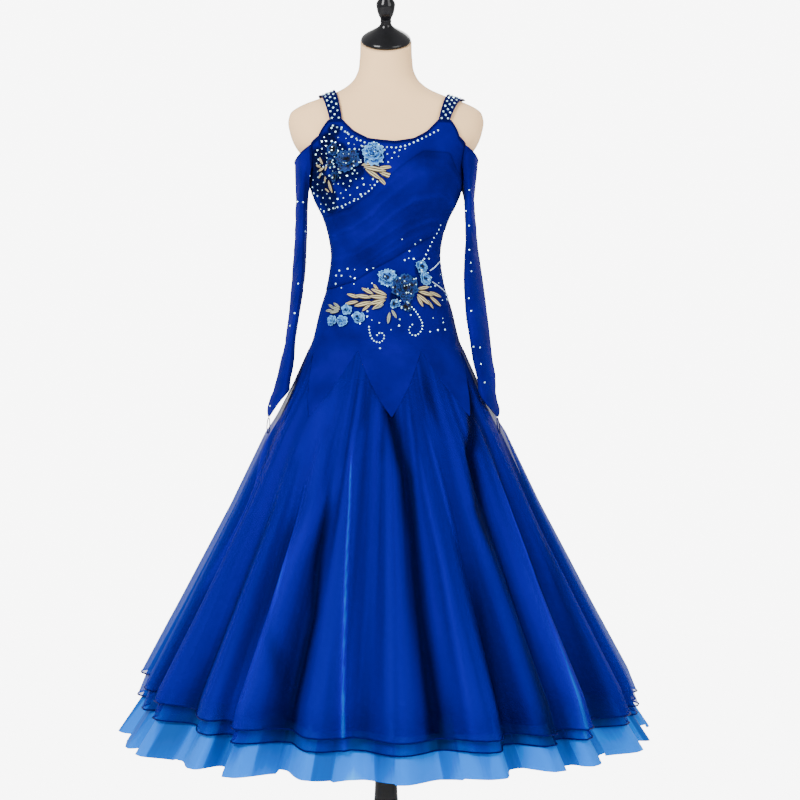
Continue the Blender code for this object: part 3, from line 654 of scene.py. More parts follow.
@cache
def leaf_finish(name, vein, blade):
    """Embroidered leaf with a dark middle vein and outline."""
    made = Finish(name, 0.5, Specular_IOR_Level=0.3)
    made.ramp(made.split_uv()[1], (
        (0.0, linear(vein)), (0.06, linear(vein)), (0.12, linear(blade, 0.85)), (0.20, linear(blade, 1.2)),
        (0.26, linear(blade, 0.8)), (0.31, linear(vein))))
    made.bump(made.streak(20.0, 9.0), 0.0008)
    return made.material


@cache
def glinting_stone_finish(name, tint):
    """Foil-backed cut stone, glowing with painted glints."""
    # Painted glints: the stones glow, brighter in random spots.
    made = Finish(name, 0.08, Metallic=0.4, Coat_Weight=0.8, Coat_Roughness=0.03, Emission_Strength=2.2)
    noise = made.noise(260.0, 1.0)
    made.ramp(noise, ((0.35, linear(tint, 0.55)), (0.6, linear(tint, 1.2))))
    made.ramp(noise, ((0.42, linear(tint, 0.15)), (0.62, linear(tint, 1.0))), "Emission Color")
    return made.material


SMOOTH_ANGLE = math.radians(60.0)
WELD = 1e-6


def link(name, data):
    """New object at the origin."""
    obj = bpy.data.objects.new(name, data)
    bpy.context.scene.collection.objects.link(obj)
    return obj


def add_piece(name, mesh, material):
    """Link a finished mesh at the origin and let it ride on the one body."""
    obj = link(name, mesh)
    mesh.shade_smooth()
    mesh.set_sharp_from_angle(angle=SMOOTH_ANGLE)
    mesh.materials.append(material)
    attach(obj, "root")
    return obj


def stands_for(piece, slot, *nodes):
    """Let a piece take the place of solids, which it hides."""
    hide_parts(*nodes)
    return piece


def add_wall(obj, wall):
    """Give a sheet its thickness, inward."""
    shell = obj.modifiers.new("Wall", "SOLIDIFY")
    shell.thickness = wall
    shell.offset = -1.0
    return obj


def mended(mesh, weld=False, slivers=False, fill=False):
    """Weld a mesh's seams, drop its slivers, close its open ends and turn its faces outward."""
    bm = bmesh.new()
    bm.from_mesh(mesh)
    if weld:
        bmesh.ops.remove_doubles(bm, verts=bm.verts, dist=WELD)
    if slivers:
        bmesh.ops.dissolve_degenerate(bm, edges=bm.edges, dist=WELD)
    if fill:
        bmesh.ops.holes_fill(bm, edges=[edge for edge in bm.edges if edge.is_boundary])
    bmesh.ops.recalc_face_normals(bm, faces=bm.faces)
    bm.to_mesh(mesh)
    bm.free()
    return mesh


def down(rows):
    """Even shares from the top row of a grid to its last."""
    return np.linspace(0, 1, rows)[:, None]


def ring_angles(columns, rows):
    """Angles of a ring grid's points, in degrees."""
    return np.linspace(0, 360, columns, endpoint=False)[None, :] + np.zeros((rows, 1))


def round_turns(count):
    """Even turns round a circle, in radians."""
    return FULL_TURN * np.arange(count) / count


def grid_mesh(name, grid, ring=False):
    """Quads over a grid of points, with a UV map in metres of cloth."""
    rows, columns = grid.shape[:2]
    mesh = bpy.data.meshes.new(name)
    index = np.arange(rows * columns).reshape(rows, columns)
    after = np.roll(index, -1, axis=1)
    if not ring:
        index, after = index[:, :-1], after[:, :-1]
    quads = np.stack((index[:-1], index[1:], after[1:], after[:-1]), axis=-1).reshape(-1, 4)
    mesh.from_pydata(grid.reshape(-1, 3).tolist(), [], quads.tolist())
    widths = np.linalg.norm(np.diff(grid, axis=1, append=grid[:, :1]), axis=-1).mean(axis=0)
    heights = np.linalg.norm(np.diff(grid, axis=0), axis=-1).mean(axis=1)
    u = np.concatenate(((0.0,), np.cumsum(widths)))
    v = -np.concatenate(((0.0,), np.cumsum(heights)))
    lines = np.arange(rows - 1)[:, None] + np.zeros(index.shape[1], int)
    posts = np.arange(index.shape[1])[None, :] + np.zeros((rows - 1, 1), int)
    corners = [(lines, posts), (lines + 1, posts), (lines + 1, posts + 1), (lines, posts + 1)]
    uvs = np.stack([np.stack((u[p], v[r]), axis=-1) for r, p in corners], axis=2)
    mesh.uv_layers.new(name="cloth").data.foreach_set("uv", uvs.reshape(-1).astype(np.float32))
    return mesh


def add_cloth(name, grid, material, wall=0.0008, ring=False, **marks):
    """Thin cloth on a grid of outer points, with values kept on its points for the finish."""
    obj = add_piece(name, grid_mesh(name, grid, ring), material)
    for mark, values in marks.items():
        kept = obj.data.attributes.new(mark, "FLOAT", "POINT")
        kept.data.foreach_set("value", np.asarray(values, np.float32).reshape(-1))
    return add_wall(obj, wall) if wall else obj


def add_tube(name, path, radius, material, sides=6, closed=False):
    """Round cord along a path of points."""
    path = np.asarray(path, float)
    ahead = np.roll(path, -1, axis=0) - np.roll(path, 1, axis=0)
    if not closed:
        ahead[0], ahead[-1] = path[1] - path[0], path[-1] - path[-2]
    ahead /= np.linalg.norm(ahead, axis=1, keepdims=True)
    out = path * (1.0, 1.0, 0.0)
    out -= ahead * (out * ahead).sum(axis=1, keepdims=True)
    out /= np.linalg.norm(out, axis=1, keepdims=True)
    up = np.cross(ahead, out)
    rings = [path + radius * (math.cos(t) * out + math.sin(t) * up) for t in round_turns(sides)]
    grid = np.stack(rings, axis=1)
    if closed:
        grid = np.concatenate((grid, grid[:1]))
    mesh = mended(grid_mesh(name, grid, ring=True), weld=True, fill=not closed)
    return add_piece(name, mesh, material)


def bind(name, path, radius, closed=False):
    """Dark binding along an edge."""
    return add_tube(name, path, radius, binding_finish(), closed=closed)


def half_turn(angle):
    """The same angle between -180 and 180 degrees."""
    return (angle + 180) % 360 - 180


Crease = namedtuple("Crease", "angle lean top low width depth fade")


def soft_creases(angle, z, rows):
    """Troughs and ridges laid along a cloth, one for each row."""
    total = np.zeros(np.broadcast(angle, z).shape)
    for row in rows:
        middle = row.angle + row.lean * (row.top - z) / (row.top - row.low)
        across = half_turn(angle - middle) / row.width
        length = (z - row.low) / (row.top - row.low)
        window = smooth_step(length / 0.3) * smooth_step((1 - length) / row.fade)
        total += row.depth * np.exp(-across * across) * window
    return total


def flute_wave(angle, z):
    """Swell and lean of the skirt's flutes, smoothed from the folds' table."""
    place = angle / FOLD_PITCH
    fold = np.round(place).astype(int)
    away = place - fold
    count = len(FOLDS)
    crest = np.array([row.crest for row in FOLDS])[fold % count]
    valleys = np.array([row.valley for row in FOLDS])
    valley = np.where(away >= 0, valleys[fold % count], valleys[(fold - 1) % count])
    leans = np.array([row.lean for row in FOLDS], float)
    neighbour = np.where(away >= 0, leans[(fold + 1) % count], leans[(fold - 1) % count])
    share = smooth_step((np.abs(away) - 0.06) / 0.38)
    lean = leans[fold % count] * (1 - share) + 0.5 * (leans[fold % count] + neighbour) * share
    swell = crest * (1 - share) - valley * share
    return swell, lean


def skirt_creases(seed, count):
    """Soft creases that start at the gathered seam and run down between the flutes."""
    rng = random.Random(seed)
    rows = []
    for k in range(count):
        angle = 360.0 * (k + rng.uniform(-0.45, 0.45)) / count
        top = float(point_edge(angle)) + 0.01
        low = top - rng.choice((0.12, 0.18, 0.30, 0.45, 0.62))
        depth = rng.uniform(0.0006, 0.0020) * rng.choice((-1, 1, 1))
        rows.append(Crease(angle, rng.uniform(-1.5, 1.5), top, low, rng.uniform(1.0, 2.6), depth, 0.12))
    return rows


# Each drape moves the cloth a little and paints shade along its trough (negative depth) or a highlight along
# its ridge.
DRAPES = table(
    "width depth path",
    (2.7, -1.0, ((0.29, 33.5), (0.50, 34.5), (0.70, 33.0), (0.81, 36.5), (0.985, 60.0), (1.06, 66.0))),
    (2.1, -0.85, (
        (0.28, 8.5), (0.52, 6.0), (0.70, 5.8), (0.77, 5.2), (0.91, -1.5), (1.00, -16.0), (1.08, -19.0))),
    (3.6, -0.6, ((0.60, 33.5), (0.70, 33.0), (0.81, 36.5), (0.985, 60.0), (1.06, 66.0))),
    (3.0, -0.45, ((0.64, 5.6), (0.77, 5.2), (0.91, -1.5), (1.00, -16.0), (1.08, -19.0))),
    (2.4, -0.8, ((0.86, 20.0), (1.012, 21.0), (1.08, 21.0))),
    (1.8, -0.45, ((0.29, 23.2), (0.42, 24.0), (0.61, 25.0))),
    (1.7, -0.7, ((0.33, -24.5), (0.505, -22.8), (0.617, -24.8), (0.80, -25.2))),
    (1.7, -0.4, ((0.35, -26.5), (0.40, -28.0), (0.58, -38.0))),
    (2.2, -0.35, ((0.30, 56.0), (0.52, 58.0), (0.72, 63.0))),
    (2.2, -0.4, ((0.30, -52.0), (0.50, -50.0), (0.76, -47.0))),
    (4.0, 0.35, ((0.70, -30.0), (0.965, -39.0))),
    (3.0, 0.3, ((0.80, -3.5), (0.96, -3.8))),
    (0.6, 1.25, ((0.275, -11.0), (0.51, -12.8), (0.72, -15.0), (0.86, -17.2))),
    (1.9, 0.35, ((0.275, -11.0), (0.51, -12.8), (0.72, -15.0), (0.90, -18.0))),
    (0.9, 0.7, ((0.62, 21.3), (0.90, 16.0))),
    (1.0, 0.8, ((0.50, -71.0), (0.74, -68.0), (0.90, -76.0))),
    (0.7, 0.6, ((0.30, 15.0), (0.60, 14.0), (0.84, 11.0))),
    (0.8, 0.6, ((0.30, 43.0), (0.55, 45.0), (0.80, 49.0))),
    (0.8, 0.5, ((0.32, -34.0), (0.55, -33.0), (0.80, -36.0))),
    (3.0, 0.6, ((0.30, 44.0), (0.55, 43.0), (0.85, 50.0))),
    (3.4, 0.6, ((0.30, -40.0), (0.60, -33.0), (0.82, -20.0))),
)


HIDDEN_TURN, HIDDEN_SHARE = 187.0, 0.85
OPEN_HEM = 0.34          # drapes that reach below this run out at the hem
DRAPE_DEPTH = 0.006
ORGANZA_COLUMNS, ORGANZA_ROWS = 900, 96
SEAM_TUCK = 0.0006
TOP_CREASES = (3, 90)    # seed and count
UNDER_CREASES = (8, 40)
# shares of the painted shade and highlight: the ground, below the seam, of the flutes, of the drapes and of a
# metre of crease
TONE_GROUND, TONE_BELOW, TONE_FLUTE, TONE_DRAPE, TONE_CREASE = 0.35, 0.06, 0.14, 0.43, 75.0
# Painted light through the organza is laid on a band at each side, whatever lies behind.
SIDE_BAND = 0.93         # sine of the angle from the front at which the pale side band starts
SIDE_TOP = 0.95
SIDE_COVER = 0.88
HEM_SHEER = 0.22         # cover lost below HEM_SHEER_TOP
HEM_SHEER_TOP = 0.37
PAINTED_SIDE_LIGHT, PAINTED_CREST_HIGHLIGHT = 0.36, 0.03


def drape_folds(angle, z):
    """Main troughs and ridges laid on the front, and again on the hidden side."""
    total = np.zeros(np.broadcast(angle, z).shape)
    for row in DRAPES:
        heights, places = zip(*row.path)
        window = smooth_step((heights[-1] - z) / 0.11)
        if heights[0] > OPEN_HEM:
            window = window * smooth_step((z - heights[0]) / 0.10)
        for turn, share in ((0.0, 1.0), (HIDDEN_TURN, HIDDEN_SHARE)):
            across = half_turn(angle - turn - np.interp(z, heights, places)) / row.width
            total += share * row.depth * np.exp(-across * across) * window
    return total


def organza_grid(top_edge, hem, gap, creases):
    """Ring of organza from its seam to its hem, with its painted fold shade, its cover and its painted light
    through the cloth at each point.
    """
    angle = ring_angles(ORGANZA_COLUMNS, ORGANZA_ROWS)
    top, low = top_edge(angle), between(HEMS, hem, half_turn(angle))
    z = top + (low - top) * down(ORGANZA_ROWS) ** 0.9
    flutes = between(FLARE, "flutes", z)
    spread = np.minimum(1.0, flutes)
    swell, lean = flute_wave(angle, z)
    fine = soft_creases(angle, z, creases)
    place = angle + lean * spread
    drape = drape_folds(place, z)
    relief = FLUTE * flutes * swell + fine + DRAPE_DEPTH * drape * smooth_step((1.0 - z) / 0.2)
    grid = skirt_point(place, z, between(FLARE, "top", z) - gap(z), relief)
    below = smooth_step((1.0 - z) / 0.10)
    # Painted shade in the valleys of the flutes, drapes and creases and painted highlight on their crests.
    folds = TONE_BELOW + TONE_FLUTE * swell * spread + TONE_DRAPE * drape + TONE_CREASE * fine
    fold = np.clip(TONE_GROUND + folds * below, 0.0, 1.0)
    # Painted light: the pale side band, as if lit through from behind, and a painted highlight on the flutes'
    # crests, the same from every view.
    crest = smooth_step(1.3 * swell) * spread
    sideways = np.abs(np.sin(np.radians(place)))
    aside = smooth_step((sideways - SIDE_BAND) / (1.0 - SIDE_BAND)) * smooth_step((SIDE_TOP - z) / 0.18)
    cover = 1.0 - (1.0 - settings().organza_alpha) * smooth_step((1.0 - z) / 0.08)
    cover = cover - HEM_SHEER * smooth_step((HEM_SHEER_TOP - z) / 0.06)
    cover = cover * (1 - aside) + SIDE_COVER * aside
    thin = PAINTED_SIDE_LIGHT * aside * (0.5 + 0.5 * crest) + PAINTED_CREST_HIGHLIGHT * crest
    return grid, {"fold": fold, "cover": cover, "thin": thin}


def under_gap(z):
    """Distance of the under skirt inside the top one."""
    share = np.clip((UNDER_TOP - z) / (UNDER_TOP - UNDER_REACH), 0.0, 1.0)
    return UNDER_GAP_TOP + (UNDER_GAP - UNDER_GAP_TOP) * share


LINING_HEMS = (
    (-180, 0.345), (-90, 0.372), (-63, 0.360), (-49, 0.350), (-37, 0.334), (-20, 0.311), (0, 0.303),
    (9, 0.299), (23, 0.306), (30, 0.308), (36, 0.322), (41, 0.350), (50, 0.354), (66, 0.318), (90, 0.338),
    (180, 0.345),
)
LINING_COLUMNS, LINING_ROWS = 540, 64
LINING_LAP = 0.43        # below it the lining opens to lie over the flounce
LINING_OVER = 0.0042
LINING_SIDE = 0.020      # fuller on the +X side
LINING_SIDE_WIDTH = 42.0
FLOUNCE_COLUMNS, FLOUNCE_ROWS = 900, 26
FLOUNCE_PANELS = 28
PANEL_SLANT = 0.005
PANEL_RISE = 0.0045
RIPPLE = 0.0022


class DRESS_OT_skirts(bpy.types.Operator):
    """Build the two organza skirts, the lining and the flounce"""

    bl_idname = "dress.skirts"
    bl_label = "Skirts"

    def execute(self, context):
        top, marks = organza_grid(
            lambda a: point_edge(a) - SEAM_TUCK, "top", lambda z: 0.0, skirt_creases(*TOP_CREASES))
        skirt_top, top_cord = self.organza("top", top, marks)
        under, marks = organza_grid(
            lambda a: UNDER_TOP + 0 * a, "under", under_gap, skirt_creases(*UNDER_CREASES))
        skirt_under, under_cord = self.organza("under", under, marks)
        lining = self.lining()
        flounce = self.flounce()
        return {"FINISHED"}

    def organza(self, layer, grid, marks):
        """One organza skirt and the bound cord along its hem."""
        skirt = add_cloth(f"skirt_{layer}_organza", grid, organza_finish(layer), wall=0.0, ring=True, **marks)
        stands_for(skirt, "skirt_organza", f"skirt_{layer}_front", f"skirt_{layer}_back")
        return skirt, bind("hem_" + layer, grid[-1], settings().hem_cord, closed=True)

    def lining(self):
        """Opaque lining in soft flutes, its hem falling over the flounce's seam."""
        angle = ring_angles(LINING_COLUMNS, LINING_ROWS)
        hem = np.interp(half_turn(angle), *zip(*LINING_HEMS))
        z = LINING_TOP + (hem - LINING_TOP) * down(LINING_ROWS)
        swell, lean = flute_wave(angle, z)
        over = smooth_step((LINING_LAP - z) / 0.06)
        flutes = 0.5 * between(FLARE, "flutes", z) * (1 - over) + between(FLOUNCE, "flutes", z) * over
        flare = between(FLARE, "lining", z) * (1 - over) + (between(FLOUNCE, "flare", z) + LINING_OVER) * over
        away = (half_turn(angle) - 90.0) / LINING_SIDE_WIDTH
        aside = LINING_SIDE * np.exp(-away * away) * smooth_step((LINING_TOP - z) / 0.4) * (1 - over)
        grid = skirt_point(angle + lean * np.minimum(1.0, flutes), z, flare + aside, FLUTE * flutes * swell)
        lining = add_cloth("skirt_lining", grid, lining_finish(), ring=True)
        return stands_for(lining, "skirt_lining", "skirt_lining_front", "skirt_lining_back")

    def flounce(self):
        """Pleated flounce on the lining's hem."""
        angle, share = ring_angles(FLOUNCE_COLUMNS, FLOUNCE_ROWS), down(FLOUNCE_ROWS)
        rng = random.Random(21)
        hems = np.array([rng.uniform(-0.003, 0.005) for _ in range(FLOUNCE_PANELS)])
        turn = angle * FLOUNCE_PANELS / 360 + 0.22 * np.sin(np.radians(angle * 5 + 30))
        gore, across = np.floor(turn).astype(int) % FLOUNCE_PANELS, turn % 1.0
        low = FLOUNCE_HEM + hems[gore] + PANEL_SLANT * (across - 0.5) * np.sign(np.sin(2.1 * gore))
        z = FLOUNCE_TOP + (low - FLOUNCE_TOP) * share
        swell, lean = flute_wave(angle, z)
        flutes = between(FLOUNCE, "flutes", z)
        ripple = PANEL_RISE * across + RIPPLE * np.sin(np.radians(angle * 41 + 80))
        grid = skirt_point(angle + lean * np.minimum(1.0, flutes), z, between(FLOUNCE, "flare", z),
                           FLUTE * flutes * swell + ripple * smooth_step(share * 2))
        # Painted shade and highlight: darker in the hollows of the ripples and high up under the skirts'
        # hems, lighter where the ripples stand out, and painted light towards the tips; also deeper where two
        # pleats lap.
        lap = smooth_step((across - 0.70) / 0.04)
        fold = 0.56 - 0.36 * lap + 40.0 * (ripple - RIPPLE)
        fold = fold + 0.9 * (share - 0.75) * (0.6 + 0.4 * np.sin(3.3 * gore))
        fold = np.clip(fold, 0.0, 1.0)
        flounce = add_cloth("flounce", grid, flounce_finish(), wall=0.0, ring=True, fold=fold)
        return stands_for(flounce, "flounce_pale", "flounce_front", "flounce_back")


PANEL_ROWS = 150


def panel(top, low, surface, angles):
    """Grid of a fitted panel between a top and a lower edge."""
    share = down(PANEL_ROWS)
    angle = angles[None, :] + 0 * share
    z = top(angle) + (low(angle) - top(angle)) * share
    return surface(angle, z)


def stretch_wrinkles(angle, z):
    """Small wrinkles of the stretched jersey at the waist and under the bust."""
    waist = np.exp(-((z - WAIST) / 0.07) ** 2)
    side = smooth_step(np.abs(angle) / 60.0)
    return -0.0009 * waist * side * (0.5 + 0.5 * np.sin(420.0 * z + 0.05 * angle))


NET_PATCHES = (
    (-0.106, 1.470, 0.013, 0.90), (-0.118, 1.448, 0.018, 0.95), (-0.136, 1.415, 0.021, 1.00),
    (-0.142, 1.385, 0.020, 1.00), (-0.130, 1.360, 0.022, 1.00), (-0.118, 1.335, 0.018, 0.90),
    (-0.112, 1.315, 0.013, 0.75), (-0.098, 1.425, 0.020, 0.85), (-0.090, 1.388, 0.024, 0.90),
    (-0.062, 1.385, 0.019, 0.80), (-0.048, 1.412, 0.020, 0.75), (-0.080, 1.362, 0.014, 0.70),
    (0.038, 1.148, 0.016, 0.90), (0.020, 1.128, 0.012, 0.80), (-0.020, 1.118, 0.012, 0.55),
    (0.058, 1.160, 0.012, 0.70), (-0.040, 1.122, 0.012, 0.75), (-0.060, 1.120, 0.010, 0.60),
    (0.080, 1.134, 0.012, 0.65), (-0.100, 1.104, 0.009, 0.60), (0.072, 1.180, 0.012, 0.65),
)
NECK_BAND = 0.0075
NECK_CORD = 0.0014


class DRESS_OT_bodice(bpy.types.Operator):
    """Build the front and back of the bodice with their bound edges"""

    bl_idname = "dress.bodice"
    bl_label = "Bodice"

    def execute(self, context):
        angles = np.linspace(-89.9, 89.9, 260)
        for face, turn, flat, area in (("front", 0, (0.66, 0.62), 0.235), ("back", 180, (0.66, 0.60), 0.23)):
            grid = panel(
                lambda a: between(TOP_EDGE, face, np.abs(a)), lambda a: point_edge(a + turn),
                lambda a, z: dress_point(a + turn, z, stretch_wrinkles(a, z)), angles)
            marks = {"net": self.net(grid)} if face == "front" else {}
            piece = add_cloth(f"bodice_{face}_cloth", grid, jersey_finish(), **marks)
            stands_for(piece, "bodice_jersey", "bodice_" + face)
            bound = bind("neckline_binding_" + face, grid[0], NECK_CORD)
        return {"FINISHED"}

    def net(self, grid):
        """Share of the dark net ground: over the left of the bust and along the neckline's edge."""
        share = np.zeros(grid.shape[:2])
        for x, z, radius, strength in NET_PATCHES:
            away = ((grid[..., 0] - x) ** 2 + (grid[..., 2] - z) ** 2) / radius ** 2
            share = np.maximum(share, strength * smooth_step(1.6 - away))
        drop = np.linalg.norm(grid - grid[:1], axis=-1)
        return np.maximum(share, 0.7 * smooth_step((NECK_BAND - drop) / 0.002))


SASH_FOLDS = table(
    "share slope width height",
    (0.10, 0.05, 0.034, 0.0016), (0.24, -0.06, 0.040, 0.0024), (0.38, 0.08, 0.034, 0.0019),
    (0.50, -0.04, 0.045, 0.0027), (0.66, 0.06, 0.036, 0.0020), (0.80, -0.05, 0.038, 0.0022),
    (0.91, 0.03, 0.028, 0.0014),
)
SASH_ROWS, SASH_COLUMNS = 170, 240
SASH_LAY = 0.0019
SASH_REST = 0.0011


def sash_lift(angle, share):
    """Height of the sash over the bodice: soft folds that run along it, thin at its edges and side ends."""
    run = angle / 88.0
    lift = np.zeros(np.broadcast(angle, share).shape)
    for k, fold in enumerate(SASH_FOLDS):
        middle = fold.share + fold.slope * run + 0.012 * np.sin(3.1 * run + 1.7 * k)
        across = (share - middle) / (fold.width * (1.0 + 0.3 * np.sin(2.3 * run + k)))
        strength = 0.65 + 0.35 * np.sin(2.7 * run + 2.4 * k)
        lift = lift + fold.height * strength * np.exp(-across * across)
    ends = smooth_step((90.0 - np.abs(angle)) / 26.0)
    edges = smooth_step(share / 0.05) * smooth_step((1.0 - share) / 0.05)
    return (SASH_LAY * (0.25 + 0.75 * edges) + lift * edges) * ends


def sash_share(angle, z):
    """Place down the sash, 0 at its upper edge and 1 at its lower one."""
    upper, lower = between(SASH, "upper", angle), between(SASH, "lower", angle)
    return (z - upper) / (lower - upper)


class DRESS_OT_sash(bpy.types.Operator):
    """Build the draped diagonal panel of the front"""

    bl_idname = "dress.sash"
    bl_label = "Sash"

    def execute(self, context):
        share = down(SASH_ROWS) + np.zeros((1, SASH_COLUMNS))
        angle = np.linspace(SASH[0].angle, SASH[-1].angle, SASH_COLUMNS)[None, :] + 0 * share
        upper, lower = between(SASH, "upper", angle), between(SASH, "lower", angle)
        lift = sash_lift(angle, share)
        grid = bodice_point(angle, upper + (lower - upper) * share, SASH_REST + lift)
        # Painted shade in the troughs between the sash's folds and along its edges, painted highlight on the
        # ridges.
        edge = smooth_step(1.0 - np.minimum(share, 1.0 - share) / 0.025)
        piece = add_cloth("sash_cloth", grid, jersey_finish(), fold=65.0 * (lift - 0.0036) - 0.08 * edge)
        stands_for(piece, "bodice_jersey", "sash")
        return {"FINISHED"}


def ridge_height(x):
    """Height of the shoulder's ridge at a distance to the side."""
    heights = np.linspace(SHOULDER_WIDEST, NECK_ROOT, 400)
    return float(np.interp(-x, -body["half_width"](heights), heights))


def strap_point(sign, face, climb, share, lift=0.0):
    """Point of a shoulder strap, from its root on a panel up to the shoulder's ridge."""
    angle = STRAP_EDGES[0] + (STRAP_EDGES[1] - STRAP_EDGES[0]) * share
    edge = float(between(TOP_EDGE, face, angle)) + STRAP_RISE * 0.4
    root = form_point(sign * angle + (DRESS_TURN if face == "front" else -DRESS_TURN), edge)
    ridge = RIDGE_SIDE + RIDGE_WIDTH * (share - 0.5) + sign * RIDGE_SHIFT
    x = abs(root[0]) + (ridge - abs(root[0])) * climb
    z = edge + (ridge_height(x) - edge) * math.sin(0.5 * math.pi * climb)
    turn = float(side_angle(x, z))
    return bodice_point(sign * (turn if face == "front" else 180 - turn) - DRESS_TURN, z, lift)


class DRESS_OT_straps(bpy.types.Operator):
    """Build the shoulder straps with their bound edges"""

    bl_idname = "dress.straps"
    bl_label = "Straps"

    def execute(self, context):
        climbs = np.linspace(0, 1, 26)
        stations = [("front", c) for c in climbs] + [("back", c) for c in climbs[-2::-1]]
        for side, sign in (("left", -1), ("right", 1)):
            grid = np.array([[strap_point(sign, face, climb, share) for share in np.linspace(0, 1, 9)]
                             for face, climb in stations])
            if sign > 0:
                grid = grid[::-1]
            piece = add_cloth("strap_cloth_" + side, grid, jersey_finish(), net=np.full(grid.shape[:2], 0.8))
            stands_for(piece, "bodice_jersey", "strap_" + side)
            bound = [bind(f"strap_binding_{side}_{edge}", grid[:, column], STRAP_CORD)
                     for edge, column in (("inner", 0), ("outer", -1))]
        return {"FINISHED"}


def sleeve_section(side, sign, turn, z):
    """Points of the hanging sleeve's flattened section; 0 degrees is its outer side."""
    tilt = np.radians(sleeve[side + "_turn"](z))
    thick = sleeve[side + "_thick"](z) * np.cos(turn)
    deep = sleeve["deep"](z) * np.sin(turn)
    x = sign * sleeve[side + "_x"](z) + sign * np.cos(tilt) * thick - sign * np.sin(tilt) * deep
    y = sleeve["y"](z) - np.sin(tilt) * thick - np.cos(tilt) * deep
    return x, y


def sleeve_root(sign, turn):
    """Point of the sleeve's upper edge: along the armhole inside, open over the shoulder outside."""
    def armhole(from_front):
        column, away = ("front", from_front) if from_front <= 90 else ("back", 180 - from_front)
        height = between(TOP_EDGE, column, away) - ARMHOLE_LAP
        return bodice_point(sign * from_front, height, 0.0016)

    reach = 90 - ARMHOLE_FRONT
    inward = -math.cos(turn)
    if inward >= 0:
        away = ARMHOLE_FRONT + reach * (1 - math.sqrt(1 - inward * inward))
        return armhole(away if math.sin(turn) >= 0 else 180 - away)
    front, back = armhole(ARMHOLE_FRONT), armhole(180 - ARMHOLE_FRONT)
    share = 0.5 - 0.5 * math.sin(turn)
    bulge = SLEEVE_OUTSIDE - 0.5 * abs(front[0] + back[0])
    return front + (back - front) * share + np.array((sign * bulge, 0.0, -SLEEVE_DIP)) * math.cos(turn)


def kept_clear(x, y, z):
    """Points moved out from the body's axis where they are too near to the dress on it."""
    away = EASE + WALL + SLEEVE_CLEAR + WALL
    half_width, square = body["half_width"](z) + away, body["square"](z)
    depth = np.where(y < 0, body["front"](z), body["back"](z)) + away
    share = ((np.abs(x) / half_width) ** square + (np.abs(y) / depth) ** square) ** (1 / square)
    share = np.minimum(share, 1.0)
    return x / share, y / share


@cache
def sleeve_grid(side, sign):
    """Ring grid of a sleeve from its root to its pointed cuff, outer points."""
    turn = -sign * round_turns(SLEEVE_SIDES)
    roots = np.array([sleeve_root(sign, t) for t in turn])
    share = down(SLEEVE_ROWS)
    settle = smooth_step(share / SLEEVE_SETTLE)
    cuff = CUFF_INNER - (CUFF_INNER - CUFF_TIP) * (0.5 + 0.5 * np.cos(turn)) ** CUFF_POINT
    z = roots[None, :, 2] + (cuff[None, :] - roots[None, :, 2]) * share
    x, y = sleeve_section(side, sign, turn[None, :], z)
    wrinkle = sleeve_wrinkles(sign, turn[None, :], z, share)
    x = x + sign * np.cos(turn)[None, :] * wrinkle
    y = y - np.sin(turn)[None, :] * wrinkle
    x, y = x * settle + roots[None, :, 0] * (1 - settle), y * settle + roots[None, :, 1] * (1 - settle)
    clear_x, clear_y = kept_clear(x, y, z)
    x, y = np.where(share > 0, clear_x, x), np.where(share > 0, clear_y, y)
    return np.stack((x, y, z), axis=-1)


def sleeve_wrinkles(sign, turn, z, share):
    """Soft uneven folds of the empty sleeve."""
    rng = random.Random(5 if sign < 0 else 11)
    total = np.zeros(np.broadcast(turn, z).shape)
    for _ in range(SLEEVE_FOLDS):
        middle = rng.uniform(0.12, 0.97)
        around = rng.uniform(0, FULL_TURN)
        slope = rng.uniform(-0.05, 0.05)
        width = rng.uniform(0.012, 0.03)
        reach = rng.uniform(0.5, 1.3)
        off = (turn - around + math.pi) % FULL_TURN - math.pi
        across = (share - middle - slope * off) / width
        total -= rng.uniform(0.0006, 0.0022) * np.exp(-across * across - (off / reach) ** 2)
    return total * smooth_step(share / 0.08) * smooth_step((1 - share) / 0.03)


class DRESS_OT_sleeves(bpy.types.Operator):
    """Build the empty sleeves, their bound edges and the finger loops"""

    bl_idname = "dress.sleeves"
    bl_label = "Sleeves"

    def execute(self, context):
        for side, sign in (("left", -1), ("right", 1)):
            grid = sleeve_grid(side, sign)
            piece = add_cloth("sleeve_cloth_" + side, grid, jersey_finish(), wall=0.0007, ring=True)
            stands_for(piece, "bodice_jersey", "sleeve_" + side)
            count = grid.shape[1]
            outer = np.cos(round_turns(count)) > -0.02
            start = int(np.argmin(outer))
            order = [k % count for k in range(start, start + count) if outer[k % count]]
            bound = [bind("cuff_binding_" + side, grid[-1], CUFF_CORD, closed=True),
                     bind("shoulder_edge_" + side, grid[0, order], SHOULDER_CORD)]
        for row in LOOPS:
            self.loop(row)
        return {"FINISHED"}

    def loop(self, row):
        """Elastic loop at the cuff's point."""
        top = np.array((row.top_x, row.top_y, CUFF_TIP - 2.0 * LOOP_WIRE))
        low = np.array((row.low_x, row.low_y, row.low_z))
        turn = round_turns(40)
        share = (0.5 - 0.5 * np.cos(turn))[:, None]
        path = top + (low - top) * share + np.stack(
            (0.3 * row.width * np.sin(turn), 0.5 * row.width * np.sin(turn), 0 * turn), axis=-1)
        name = "finger_loop_elastic_" + row.side
        piece = add_tube(name, path, LOOP_WIRE * 0.9, binding_finish(), sides=8, closed=True)
        stands_for(piece, "bodice_jersey", "finger_loop_" + row.side)


def turned_mesh(name, profile, sides, rounds):
    """Turned piece from a profile, its corners rounded a little."""
    points = smooth_path(profile, rounds)
    turns = round_turns(sides)
    grid = np.stack((points[:, :1] * np.cos(turns), points[:, :1] * np.sin(turns),
                     points[:, 1:] + 0 * turns[None, :]), axis=-1)
    return mended(grid_mesh(name, grid, ring=True), weld=True, slivers=True)


